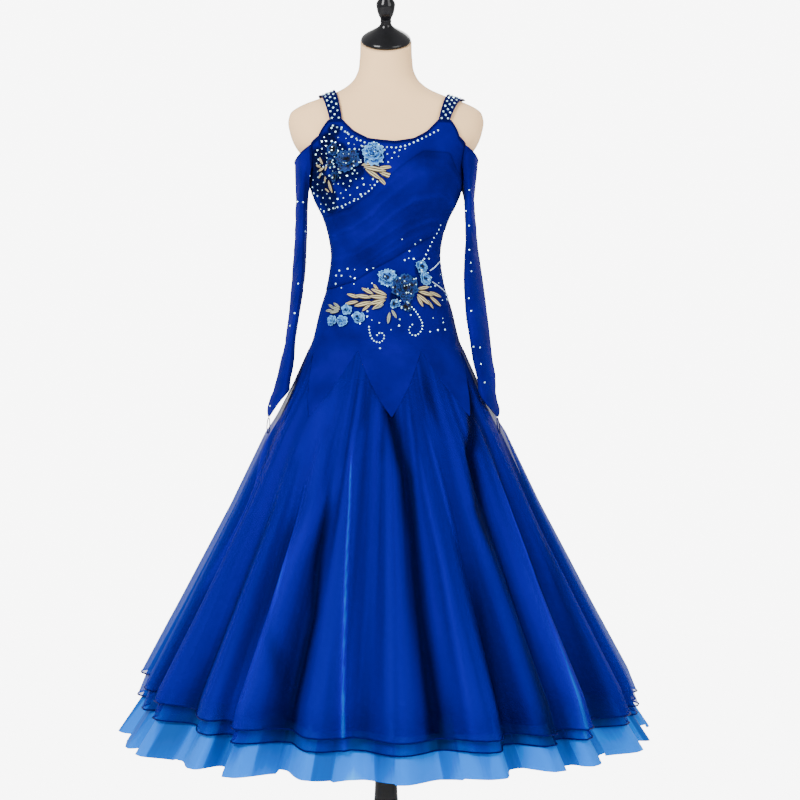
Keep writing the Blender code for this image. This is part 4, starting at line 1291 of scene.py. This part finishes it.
class DRESS_OT_stand(bpy.types.Operator):
    """Build the padded form, its neck cap, the pole and the base"""

    bl_idname = "dress.stand"
    bl_label = "Form and stand"

    def execute(self, context):
        angle = ring_angles(144, 1)
        z = np.concatenate((np.linspace(NECK_TOP, 1.48, 60), np.linspace(1.476, BODY[0].z, 110)))[:, None]
        grid = form_point(angle, z, FORM_BUST_RISE)
        slant = np.clip((z - NECK_ROOT) / (NECK_TOP - NECK_ROOT), 0, 1) * math.tan(math.radians(CAP_TILT))
        grid[..., 2] += grid[..., 1] * slant
        mesh = mended(grid_mesh("form_cover", grid, ring=True), fill=True)
        cover = stands_for(add_piece("form_cover", mesh, linen_finish()), "form_linen", "form_torso")
        cap = turned_mesh("cap_turned", CAP_PROFILE, 72, 2)
        tilt = math.radians(CAP_TILT)
        place = Matrix.Translation((0.0, -CAP_LIFT * math.sin(tilt), NECK_TOP + CAP_LIFT * math.cos(tilt)))
        cap.transform(place @ Matrix.Rotation(tilt, 4, "X"))
        for name, made, node in (
                ("cap_turned", cap, "neck_cap"),
                ("pole_turned", turned_mesh("pole_turned", POLE_PROFILE, 64, 2), "pole"),
                ("base_turned", turned_mesh("base_turned", BASE_PROFILE, 96, 2), "base")):
            stands_for(add_piece(name, made, lacquer_finish()), "stand_black", node)
        return {"FINISHED"}


BLOSSOM = "x z radius turn petals rings"
FLOWERS = table(
    "name node kind blossoms",
    ("bust_flower_light", "flower_bust_light", "light", table(
        BLOSSOM,
        (-0.026, 1.4185, 0.0245, 10, 6, 3),)),
    ("bust_flower_dark", "flower_bust_dark", "dark", table(
        BLOSSOM,
        (-0.076, 1.4040, 0.0240, 40, 7, 3),)),
    ("bust_flower_side", "flower_bust_side", "dark", table(
        BLOSSOM,
        (-0.104, 1.4290, 0.0130, 0, 4, 2), (-0.107, 1.4020, 0.0110, 60, 3, 2),
        (-0.098, 1.3730, 0.0110, 20, 3, 2))),
    ("hip_flower_dark", "flower_hip_dark", "dark", table(
        BLOSSOM,
        (0.039, 1.1460, 0.0275, 20, 7, 3), (0.041, 1.1080, 0.0120, 200, 3, 1))),
    ("hip_flower_left", "flower_hip_left", "light", table(
        BLOSSOM,
        (0.003, 1.1680, 0.0175, 0, 5, 2), (0.017, 1.1120, 0.0110, 230, 3, 2))),
    ("hip_flower_right", "flower_hip_right", "light", table(
        BLOSSOM,
        (0.070, 1.1920, 0.0130, 30, 5, 2), (0.077, 1.1660, 0.0130, 75, 5, 2))),
)
ROSES = (
    (-0.106, 1.0790, 0.0125), (-0.086, 1.0780, 0.0135), (-0.054, 1.0850, 0.0140), (-0.077, 1.1010, 0.0125),
)
LEAF = "x z turn length"
SPRAYS = table(
    "name node kind leaves",
    ("bust_spray", "spray_bust", "gold", table(
        LEAF,
        (-0.049, 1.3930, 14, 0.036), (-0.045, 1.3900, -10, 0.046), (-0.042, 1.3860, -34, 0.038),
        (-0.016, 1.3890, 6, 0.030), (-0.014, 1.3810, -18, 0.042), (-0.020, 1.3750, -44, 0.030),
        (-0.030, 1.3930, 36, 0.018))),
    ("bust_spray_side", "spray_bust_side", "gold", table(
        LEAF,
        (-0.124, 1.4010, 118, 0.017), (-0.121, 1.3930, 200, 0.016), (-0.119, 1.3870, 62, 0.016),
        (-0.128, 1.3960, 160, 0.014), (-0.126, 1.3840, 235, 0.015), (-0.114, 1.3980, 40, 0.013),
        (-0.104, 1.3440, 96, 0.026), (-0.110, 1.3460, 140, 0.014), (-0.118, 1.3760, 262, 0.013))),
    ("hip_spray_left", "spray_hip_left", "gold", table(
        LEAF,
        (0.002, 1.1310, 158, 0.034), (0.002, 1.1260, 176, 0.036), (0.000, 1.1210, 194, 0.036),
        (-0.004, 1.1170, 214, 0.028), (-0.024, 1.1330, 152, 0.028), (-0.028, 1.1260, 172, 0.034),
        (-0.028, 1.1170, 194, 0.036), (-0.030, 1.1120, 220, 0.022), (-0.052, 1.1260, 164, 0.028),
        (-0.054, 1.1180, 190, 0.028), (-0.014, 1.1400, 128, 0.018))),
    ("hip_spray_right", "spray_hip_right", "gold", table(
        LEAF,
        (0.062, 1.1440, 10, 0.028), (0.064, 1.1390, -14, 0.034), (0.062, 1.1330, -40, 0.034),
        (0.062, 1.1280, -62, 0.024), (0.086, 1.1380, -20, 0.030), (0.086, 1.1290, -40, 0.032),
        (0.082, 1.1210, -58, 0.022))),
    ("hip_leaves_grey", None, "grey", table(
        LEAF,
        (-0.004, 1.1120, 205, 0.022), (0.008, 1.0960, 262, 0.024), (0.012, 1.1010, 300, 0.020),
        (-0.090, 1.1020, 168, 0.024), (-0.090, 1.1060, 150, 0.020), (-0.092, 1.0990, 190, 0.022),
        (-0.102, 1.1060, 158, 0.018), (-0.104, 1.1000, 180, 0.020))),
)


# Fine painted highlights along the petals' edges.
DARK_PETAL_EDGE_HIGHLIGHT = (0.008, 0.045, 0.17)
LIGHT_PETAL_EDGE_HIGHLIGHT = (0.12, 0.34, 0.62)
SILVER = (0.42, 0.55, 0.72)
STEM_CORD = 0.0012
PETAL_WALL = 0.0005
APPLIQUE_LIFT = 0.0012
RING_SIZES = (1.0, 0.70, 0.42)
STEMS = (
    ((0.105, 1.204), (0.095, 1.190), (0.086, 1.183)),
    ((0.090, 1.160), (0.110, 1.146), (0.122, 1.132)),
)


def smooth_path(corners, rounds):
    """Corners of a line rounded off into a curve."""
    points = np.array(corners, float)
    for _ in range(rounds):
        start, end = points[:-1], points[1:]
        inner = np.stack((start * 0.75 + end * 0.25, start * 0.25 + end * 0.75), axis=1)
        points = np.concatenate((points[:1], inner.reshape(-1, 2), points[-1:]))
    return points


def spaced(corners, step):
    """Points at even steps along a line of corners."""
    points = np.array(corners, float)
    run = np.concatenate(((0.0,), np.cumsum(np.linalg.norm(np.diff(points, axis=0), axis=1))))
    at = np.linspace(0.0, run[-1], max(2, int(round(run[-1] / step)) + 1))
    return np.stack((np.interp(at, run, points[:, 0]), np.interp(at, run, points[:, 1])), axis=1)


class LobedPatch:
    """Mesh under construction from small bent leaves and petals laid on the bodice."""

    def __init__(self):
        self.points, self.faces, self.uvs = [], [], []

    def add(self, ground, turn, shape, steps, lift=0.0):
        """Leaf that points a given way: shape gives for u, v the amounts along, across and outward."""
        place, normal, side = ground
        along = side * math.cos(turn) + np.cross(normal, side) * math.sin(turn)
        origin, across = place + normal * lift, np.cross(normal, along)
        start = len(self.points)
        rows, columns = steps
        for i in range(rows + 1):
            for j in range(columns + 1):
                v, u = i / rows, j / columns
                a, b, c = shape(u, v)
                self.points.append(origin + along * a + across * b + normal * c)
        for i in range(rows):
            for j in range(columns):
                k = start + i * (columns + 1) + j
                self.faces.append((k, k + 1, k + columns + 2, k + columns + 1))
                corners = ((j, i), (j + 1, i), (j + 1, i + 1), (j, i + 1))
                self.uvs.extend((p / columns, q / rows) for p, q in corners)

    def mesh(self, name):
        mesh = bpy.data.meshes.new(name)
        mesh.from_pydata([tuple(p) for p in self.points], [], self.faces)
        layer = mesh.uv_layers.new(name="cloth")
        layer.data.foreach_set("uv", np.array(self.uvs, dtype=np.float32).reshape(-1))
        return mesh


def petal_shape(length, width, cup, rise, ruffle, phase):
    """Rounded, ruffled petal that rises from its root and curls over at its rim."""
    def shape(u, v):
        side = 2 * u - 1
        spread = width * math.sin(math.pi * min(1.0, 0.10 + 0.62 * v)) ** 0.8
        notch = 0.09 * math.sin(7.0 * side + phase) * v ** 3
        along = length * v * (1 - 0.10 * side * side * v + notch)
        out = 0.0004 + rise * math.sin(0.5 * math.pi * v) + cup * side * side * v
        out += ruffle * v * v * math.sin(7.0 * side + 2 * phase)
        return along, spread * side, out
    return shape


def leaf_shape(length, width, rise, twist):
    """Pointed leaf with a raised middle vein."""
    def shape(u, v):
        side = 2 * u - 1
        spread = width * math.sin(math.pi * (0.04 + 0.94 * v)) ** 0.75
        out = 0.0006 + rise * math.sin(math.pi * v) * (1 - 0.7 * abs(side)) + twist * side * v
        return length * v, spread * side, out
    return shape


class DRESS_OT_applique(bpy.types.Operator):
    """Build the flowers, small roses and leaf sprays at the bust and hip"""

    bl_idname = "dress.applique"
    bl_label = "Flowers and leaves"

    def execute(self, context):
        rng = random.Random(4)
        choice = settings()
        pale, dark = tuple(choice.petal_highlight_and_patch_colour), tuple(choice.dark_petal_colour)
        petals = {
            "light": petal_finish("light blue petal", tuple(choice.petal_colour), pale, LIGHT_PETAL_EDGE_HIGHLIGHT),
            "dark": petal_finish("dark blue petal", dark, tuple(choice.dark_petal_highlight_and_patch_colour), DARK_PETAL_EDGE_HIGHLIGHT),
        }
        for row in FLOWERS:
            patch = LobedPatch()
            for blossom in row.blossoms:
                self.flower(patch, blossom, rng)
            piece = self.sewn(row.name, patch, petals[row.kind])
            stands_for(piece, "petal_light" if "side" in row.name else "petal_" + row.kind, row.node)
        patch = LobedPatch()
        for x, z, radius in ROSES:
            self.rose(patch, x, z, radius, rng)
        stands_for(self.sewn("hip_roses", patch, petals["light"]), "petal_light", "flower_hip_roses")
        leaves = {
            "gold": leaf_finish("gold thread leaf", (0.030, 0.016, 0.008), tuple(choice.leaf_colour)),
            "grey": leaf_finish("grey green leaf", (0.03, 0.03, 0.03), tuple(choice.grey_leaf_colour)),
        }
        for row in SPRAYS:
            patch = LobedPatch()
            for leaf in row.leaves:
                self.leaf(patch, leaf, rng)
            piece = self.sewn(row.name, patch, leaves[row.kind])
            if row.node:
                stands_for(piece, "leaf_gold", row.node)
        for k, stem in enumerate(STEMS):
            path = [front_frame(x, z, 0.0022)[0] for x, z in smooth_path(stem, 4)]
            add_tube(f"hip_stem_{k}", path, STEM_CORD, cord_finish("silver thread stem", SILVER))
        return {"FINISHED"}

    def sewn(self, name, patch, material):
        """A patch as a piece, its leaves and petals given a thickness."""
        return add_wall(add_piece(name, patch.mesh(name), material), PETAL_WALL)

    def flower(self, patch, row, rng):
        """Rings of uneven petals, the inner ones smaller and steeper."""
        ground = front_frame(row.x, row.z, APPLIQUE_LIFT)
        for ring in range(row.rings):
            size = row.radius * RING_SIZES[ring]
            count = row.petals if ring < 2 else 3
            for k in range(count):
                turn = math.radians(row.turn + 31 * ring) + FULL_TURN * k / count + rng.uniform(-0.30, 0.30)
                length, width = size * rng.uniform(0.78, 1.14), size * rng.uniform(0.45, 0.68)
                rise, phase = 0.0014 + 0.0016 * ring, rng.uniform(0, FULL_TURN)
                shape = petal_shape(length, width, 0.0018, rise, 0.0011, phase)
                patch.add(ground, turn, shape, (8, 10), 0.0008 * ring + 0.0003 * (k % 3))

    def rose(self, patch, x, z, radius, rng):
        """Small rose: petals wound round its middle."""
        ground = front_frame(x, z, APPLIQUE_LIFT)
        for k in range(9):
            turn = 2.4 * k + rng.uniform(-0.2, 0.2)
            size = radius * (1.0 - 0.085 * k)
            phase = rng.uniform(0, FULL_TURN)
            shape = petal_shape(size, size * 0.7, 0.0012, 0.0012 + 0.0004 * k, 0.0005, phase)
            patch.add(ground, turn, shape, (5, 6))

    def leaf(self, patch, row, rng):
        """One slender leaf laid on the bodice."""
        width = row.length * 0.125 + 0.0012
        shape = leaf_shape(row.length, width, 0.0016, rng.uniform(-0.0008, 0.0008))
        patch.add(front_frame(row.x, row.z, APPLIQUE_LIFT), math.radians(row.turn), shape, (8, 8))


@cache
def stone_tree():
    """Cut stones set on points, each facing its own way and of its own size."""
    tree, given, made = new_group(
        "stones on points", "GeometryNodeTree",
        {"Geometry": "Geometry", "Stone Radius": "Float", "Stone Finish": "Material"},
        {"Geometry": "Geometry"})
    kept = {}
    for name, kind in (("facing", "FLOAT_VECTOR"), ("size", "FLOAT")):
        node = tree.add("GeometryNodeInputNamedAttribute")
        node.data_type = kind
        kept[name] = tree.fill(node, {"Name": name}).outputs["Attribute"]
    gem = tree.add("GeometryNodeMeshCone", Vertices=8, Radius_Top=0.55, Radius_Bottom=1.0, Depth=0.7)
    turn = tree.add("FunctionNodeAlignRotationToVector", Vector=kept["facing"])
    turn.axis = "Z"
    scale = tree.reckon("MULTIPLY", kept["size"], given["Stone Radius"])
    place = tree.add("GeometryNodeInstanceOnPoints", Points=given["Geometry"], Instance=gem.outputs["Mesh"],
                     Rotation=turn.outputs["Rotation"], Scale=scale)
    real = tree.add("GeometryNodeRealizeInstances", Geometry=place.outputs["Instances"])
    finish = tree.add("GeometryNodeSetMaterial", Geometry=real.outputs["Geometry"],
                      Material=given["Stone Finish"])
    tree.links.new(finish.outputs["Geometry"], made["Geometry"])
    return tree.tree


def set_stones(name, stones, finish):
    """Plain mesh of stones from rows of place, facing and size."""
    seed = bpy.data.meshes.new(name + "_places")
    seed.from_pydata([tuple(place) for place, _, _ in stones], [], [])
    facing = seed.attributes.new("facing", "FLOAT_VECTOR", "POINT")
    facing.data.foreach_set("vector", np.array([n for _, n, _ in stones], np.float32).reshape(-1))
    sizes = seed.attributes.new("size", "FLOAT", "POINT")
    sizes.data.foreach_set("value", np.array([s for _, _, s in stones], np.float32))
    obj = link(name, seed)
    tree = stone_tree()
    modifier = obj.modifiers.new("Stones", "NODES")
    modifier.node_group = tree
    values = {"Stone Radius": settings().stone_radius, "Stone Finish": finish}
    for item in tree.interface.items_tree:
        if item.in_out == "INPUT" and item.name in values:
            modifier[item.identifier] = values[item.name]
    graph = bpy.context.evaluated_depsgraph_get()
    mesh = bpy.data.meshes.new_from_object(obj.evaluated_get(graph))
    bpy.data.objects.remove(obj, do_unlink=True)
    mesh.name = name
    piece = link(name, mesh)
    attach(piece, "root")
    return piece


STONE_LIFT = 0.0004


def front_stones(places, lift=STONE_LIFT):
    """Stones on the front, over the sash where it lies, from rows of x, z and size."""
    rows = []
    for x, z, size in places:
        angle = float(front_angle(x, z))
        share = float(sash_share(angle, z))
        over = SASH_REST + float(sash_lift(angle, share)) if 0.0 < share < 1.0 else 0.0
        place, normal, _ = front_frame(x, z, lift + over)
        rows.append((place, normal, size))
    return rows


STRAP_STONES = 7
PETAL_STONE_LIFT = 0.0058
FIELD_EDGE = ((1.300, -0.060), (1.360, -0.030), (1.390, 0.000), (1.410, 0.030), (1.430, 0.048))
FIELD_TRIES = 2600
FIELD_APART, FIELD_CLOSER = 0.0104, 0.0024
SLEEVE_STONES = 26
NECK_CHAIN = (
    (-0.107, 1.478), (-0.088, 1.469), (-0.072, 1.457), (-0.046, 1.4425), (-0.007, 1.4325), (0.023, 1.431),
    (0.042, 1.435), (0.058, 1.442), (0.084, 1.455), (0.106, 1.468),
)
SASH_CHAIN = ((-0.112, 1.3130), (-0.085, 1.3180), (-0.056, 1.3300), (-0.031, 1.3480), (-0.001, 1.3820))
DROP_CHAIN = ((0.106, 1.281), (0.076, 1.208))
CURLS = (
    ((-0.033, 1.067), (-0.031, 1.050), (-0.025, 1.038), (-0.011, 1.034), (-0.003, 1.042), (-0.003, 1.052),
     (-0.011, 1.056), (-0.017, 1.050)),
    ((0.047, 1.111), (0.054, 1.105), (0.062, 1.095), (0.068, 1.085), (0.074, 1.073), (0.072, 1.059),
     (0.060, 1.048), (0.049, 1.052), (0.045, 1.063), (0.053, 1.071)),
)
NECK_STEP, SASH_STEP, DROP_STEP, CURL_STEP = 0.0092, 0.0085, 0.0095, 0.0063
SCATTER_APART = 0.0085
LONE_STONE = (-0.011, 1.024, 1.5)
HIP_SCATTER = table(
    "x_low x_high z_low z_high count",
    (-0.100, -0.020, 1.134, 1.190, 26), (0.011, 0.118, 1.055, 1.108, 22),
    (0.029, 0.092, 1.200, 1.249, 14), (-0.070, 0.000, 1.070, 1.100, 8),
    (0.085, 0.125, 1.120, 1.180, 9),
)


class DRESS_OT_stones(bpy.types.Operator):
    """Set the stones of the neckline, straps, bust, hip and sleeves"""

    bl_idname = "dress.stones"
    bl_label = "Stones"

    def execute(self, context):
        clear = glinting_stone_finish("clear cut stone", (0.50, 0.84, 1.0))
        chain = [(x, z, 1.45) for x, z in spaced(NECK_CHAIN, NECK_STEP)]
        set_stones("stones_neckline", front_stones(chain), clear)
        set_stones("stones_straps", self.straps(), clear)
        set_stones("stones_bust", front_stones(self.bust_field()), clear)
        set_stones("stones_flowers", front_stones(self.flower_stones(), PETAL_STONE_LIFT), clear)
        set_stones("stones_hip", front_stones(self.hip_field()), clear)
        set_stones("stones_sleeves", self.sleeve_scatter(), clear)
        return {"FINISHED"}

    def straps(self):
        """Three staggered rows of stones on each strap."""
        rows = []
        for sign in (-1, 1):
            for share, shift in ((0.20, 0.0), (0.50, 0.5), (0.80, 0.0)):
                for k in range(STRAP_STONES):
                    climb = (k + 0.25 + shift) / STRAP_STONES
                    place = strap_point(sign, "front", climb, share, STONE_LIFT)
                    outer = strap_point(sign, "front", climb, share, STONE_LIFT + 0.001)
                    normal = (outer - place) / np.linalg.norm(outer - place)
                    rows.append((place, normal, 1.6))
        return rows

    def bust_field(self):
        """Uneven field over the left of the bust, densest in the net ground at its side."""
        rng = random.Random(12)
        kept = []
        for _ in range(FIELD_TRIES):
            x, z = rng.uniform(-0.160, 0.05), rng.uniform(1.300, 1.475)
            angle = float(front_angle(x, z))
            top = float(between(TOP_EDGE, "front", abs(angle)))
            right_edge = np.interp(z, *zip(*FIELD_EDGE))
            if sash_share(angle, z) > -0.02 or z > top - 0.016 or x > right_edge:
                continue
            net = max(strength * smooth_step(1.6 - ((x - a) ** 2 + (z - b) ** 2) / radius ** 2)
                      for a, b, radius, strength in NET_PATCHES)
            apart = FIELD_APART - FIELD_CLOSER * net
            if any(math.hypot(x - b.x, z - b.z) < b.radius * 0.75 for f in FLOWERS for b in f.blossoms):
                continue
            if all(math.hypot(x - a, z - b) > apart for a, b, _ in kept):
                kept.append((x, z, rng.choice((0.8, 1.0, 1.2, 1.5))))
        return kept

    def flower_stones(self):
        """Small stones among the petals' edges."""
        rng = random.Random(31)
        rows = []
        for flower in FLOWERS:
            for b in flower.blossoms:
                for _ in range((18 if flower.kind == "dark" else 9) if b.rings > 2 else 4):
                    turn, reach = rng.uniform(0, FULL_TURN), b.radius * rng.uniform(0.15, 1.1)
                    rows.append((b.x + reach * math.cos(turn), b.z + reach * math.sin(turn), 1.1))
        return rows

    def hip_field(self):
        """Scattered stones round the hip flowers, along the sash's upper edge and along the curls."""
        rng = random.Random(9)
        rows = [(x, z, 1.3) for x, z in spaced(SASH_CHAIN, SASH_STEP)]
        rows += [(x, z, 1.2) for x, z in spaced(DROP_CHAIN, DROP_STEP)]
        for curl in CURLS:
            rows += [(x, z, 1.2) for x, z in spaced(smooth_path(curl, 2), CURL_STEP)]
        for area in HIP_SCATTER:
            for _ in range(area.count):
                x, z = rng.uniform(area.x_low, area.x_high), rng.uniform(area.z_low, area.z_high)
                if all(math.hypot(x - a, z - b) > SCATTER_APART for a, b, _ in rows):
                    rows.append((x, z, rng.choice((0.9, 1.1, 1.5))))
        rows.append(LONE_STONE)
        return rows

    def sleeve_scatter(self):
        """Single stones scattered over the outer sides of the sleeves."""
        rows = []
        for side, sign in (("left", -1), ("right", 1)):
            rng = random.Random(17 if sign < 0 else 23)
            grid = sleeve_grid(side, sign)
            for k in range(SLEEVE_STONES):
                line = int(grid.shape[0] * (k + rng.uniform(0.1, 0.9)) / SLEEVE_STONES)
                line = min(line, grid.shape[0] - 2)
                column = rng.randrange(grid.shape[1])
                place = grid[line, column]
                around = grid[line, (column + 1) % grid.shape[1]] - place
                normal = np.cross(grid[line + 1, column] - place, around)
                normal = normal / np.linalg.norm(normal)
                rows.append((place + normal * STONE_LIFT, normal, 1.3))
        return rows


WHITE = (1.0, 1.0, 1.0, 1.0)
FLOOR_RADIUS, FLOOR_Z, FLOOR_SIDES = 3.0, -0.0005, 96
FLOOR_SEEN = 0.985       # share of the surround's white that the camera sees on the floor
LENS, SENSOR = 81.4, 36.0
CAMERA_PLACE = (0.0294, -3.8, 1.0)
CAMERA_DIP = 1.267
AIM = (0.0, 0.0, 0.95)
LAMPS = (
    ("key", (-2.2, -3.0, 2.9), 1.6, 310.0),
    ("fill", (2.6, -2.6, 1.9), 2.2, 120.0),
    ("back", (0.5, 2.6, 2.6), 2.0, 70.0),
)


class DRESS_OT_stage(bpy.types.Operator):
    """Set up the pale floor, the soft studio light and the camera"""

    bl_idname = "dress.stage"
    bl_label = "Stage"

    def execute(self, context):
        scene = context.scene
        mesh = bpy.data.meshes.new("floor")
        turns = round_turns(FLOOR_SIDES)
        rim = [(FLOOR_RADIUS * math.cos(t), FLOOR_RADIUS * math.sin(t), FLOOR_Z) for t in turns]
        mesh.from_pydata(rim, [], [list(range(FLOOR_SIDES))])
        mesh.materials.append(self.floor_finish())
        link("floor", mesh)
        self.world(scene)
        for name, place, size, power in LAMPS:
            light = bpy.data.lights.new(name, "AREA")
            light.size, light.energy = size, power
            lamp = link(name, light)
            lamp.location = place
            lamp.rotation_euler = (Vector(AIM) - Vector(place)).to_track_quat("-Z", "Y").to_euler()
        self.camera(scene)
        return {"FINISHED"}

    def floor_finish(self):
        """Pale floor that the camera sees as nearly the surround's white."""
        made = Finish("pale floor", 0.9, Base_Color=(0.95, 0.95, 0.95, 1.0))
        glow = made.add("ShaderNodeEmission", Strength=settings().surround_white)
        shown = made.seen_by_camera(made.shader, glow, FLOOR_SEEN)
        made.links.new(shown, made.nodes["Material Output"].inputs["Surface"])
        return made.material

    def world(self, scene):
        """White surround, brighter to the eye than as a light."""
        scene.world = bpy.data.worlds.new("white surround")
        scene.world.use_nodes = True
        made = Nodes(scene.world.node_tree)
        light = made.fill(made.nodes["Background"], {"Color": WHITE, "Strength": settings().surround_light})
        seen = made.add("ShaderNodeBackground", Color=WHITE, Strength=settings().surround_white)
        made.links.new(made.seen_by_camera(light, seen), made.nodes["World Output"].inputs["Surface"])

    def camera(self, scene):
        """Camera at the photograph's place, level with the thigh and tipped down a little."""
        data = bpy.data.cameras.new("camera")
        data.lens, data.sensor_width = LENS, SENSOR
        camera = link("camera", data)
        camera.location = CAMERA_PLACE
        camera.rotation_euler = (math.radians(90.0 - CAMERA_DIP), 0.0, 0.0)
        scene.camera = camera


def colour_setting(name, description, default):
    """Colour a user would change."""
    return bpy.props.FloatVectorProperty(
        name=name, description=description, default=default, subtype="COLOR", size=3, min=0.0, max=1.0)


class DressSettings(bpy.types.PropertyGroup):
    """Sizes and colours of the dress and its stand"""

    jersey_colour: colour_setting("Jersey", "Bodice, sash, straps and sleeves", (0.003, 0.0, 0.106))
    net_colour: colour_setting("Net ground", "Dark net under the stones of the bust", (0.001, 0.001, 0.006))
    organza_colour: colour_setting("Organza", "Both organza skirts", (0.003, 0.0, 0.150))
    # Painted light: the colour of light through the organza, laid on its sides and crests.
    painted_backlight_colour: colour_setting("Thin organza", "Organza with nothing behind it", (0.0, 0.075, 0.42))
    lining_colour: colour_setting("Lining", "Opaque lining skirt", (0.002, 0.0, 0.080))
    flounce_colour: colour_setting("Flounce", "Pale flounce", (0.0, 0.118, 0.54))
    # Deep flounce colour where its pleats lap, also the low end of its painted shade.
    flounce_fold_colour: colour_setting("Flounce folds", "Flounce where its pleats lap", (0.0, 0.062, 0.36))
    # Painted light at the flounce's tips.
    flounce_tip_light_colour: colour_setting("Flounce tips", "Flounce at its palest", (0.02, 0.32, 0.80))
    binding_colour: colour_setting("Binding", "Bound edges and hems", (0.001, 0.0, 0.045))
    petal_colour: colour_setting("Light petals", "Light flowers", (0.008, 0.062, 0.30))
    # Painted highlight towards the light petals' rims, also their lighter patches.
    petal_highlight_and_patch_colour: colour_setting("Light petal rims", "Rims of the light flowers", (0.05, 0.21, 0.48))
    dark_petal_colour: colour_setting("Dark petals", "Dark flowers", (0.001, 0.002, 0.025))
    # Painted highlight towards the dark petals' rims, also their lighter patches.
    dark_petal_highlight_and_patch_colour: colour_setting("Dark petal rims", "Rims of the dark flowers", (0.002, 0.011, 0.08))
    leaf_colour: colour_setting("Gold leaves", "Leaf sprays", (0.50, 0.43, 0.23))
    grey_leaf_colour: colour_setting("Grey leaves", "Grey green leaves of the hip", (0.30, 0.34, 0.26))
    linen_colour: colour_setting("Linen", "Cover of the form", (0.86, 0.55, 0.28))
    lacquer_colour: colour_setting("Lacquer", "Cap, pole and base", (0.004, 0.004, 0.005))
    organza_alpha: bpy.props.FloatProperty(
        name="Organza cover", description="How much one layer of organza hides", default=0.80,
        min=0.2, max=0.95, subtype="FACTOR")
    hem_cord: bpy.props.FloatProperty(
        name="Hem cord", description="Radius of the bound hems", default=0.0016, unit="LENGTH")
    stone_radius: bpy.props.FloatProperty(
        name="Stone", description="Radius of a stone of size one", default=0.0014, unit="LENGTH")
    surround_light: bpy.props.FloatProperty(
        name="Surround light", description="Strength of the soft light all round", default=0.9, min=0.0)
    surround_white: bpy.props.FloatProperty(
        name="Surround white", description="Brightness of the background", default=8.0, min=0.0)


OPERATORS = (
    DRESS_OT_stand, DRESS_OT_bodice, DRESS_OT_sash, DRESS_OT_straps, DRESS_OT_sleeves, DRESS_OT_skirts,
    DRESS_OT_applique, DRESS_OT_stones, DRESS_OT_stage,
)


class DRESS_PT_builder(bpy.types.Panel):
    """Lists the dress's pieces and settings"""

    bl_idname = "DRESS_PT_builder"
    bl_label = "Ballroom dress"
    bl_space_type = "VIEW_3D"
    bl_region_type = "UI"
    bl_category = "Dress"

    def draw(self, context):
        for operator in OPERATORS:
            self.layout.operator(operator.bl_idname)
        for name in DressSettings.__annotations__:
            self.layout.prop(context.scene.ballroom_dress, name)


CLASSES = (DressSettings, *OPERATORS, DRESS_PT_builder)


def register():
    """Add the classes and the scene's settings."""
    for cls in CLASSES:
        bpy.utils.register_class(cls)
    bpy.types.Scene.ballroom_dress = bpy.props.PointerProperty(type=DressSettings)


def unregister():
    """Take the classes and settings away."""
    del bpy.types.Scene.ballroom_dress
    for cls in reversed(CLASSES):
        bpy.utils.unregister_class(cls)


def main():
    """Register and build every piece."""
    register()
    for operator in OPERATORS:
        group, name = operator.bl_idname.split(".")
        getattr(getattr(bpy.ops, group), name)()


if __name__ == "__main__":
    main()
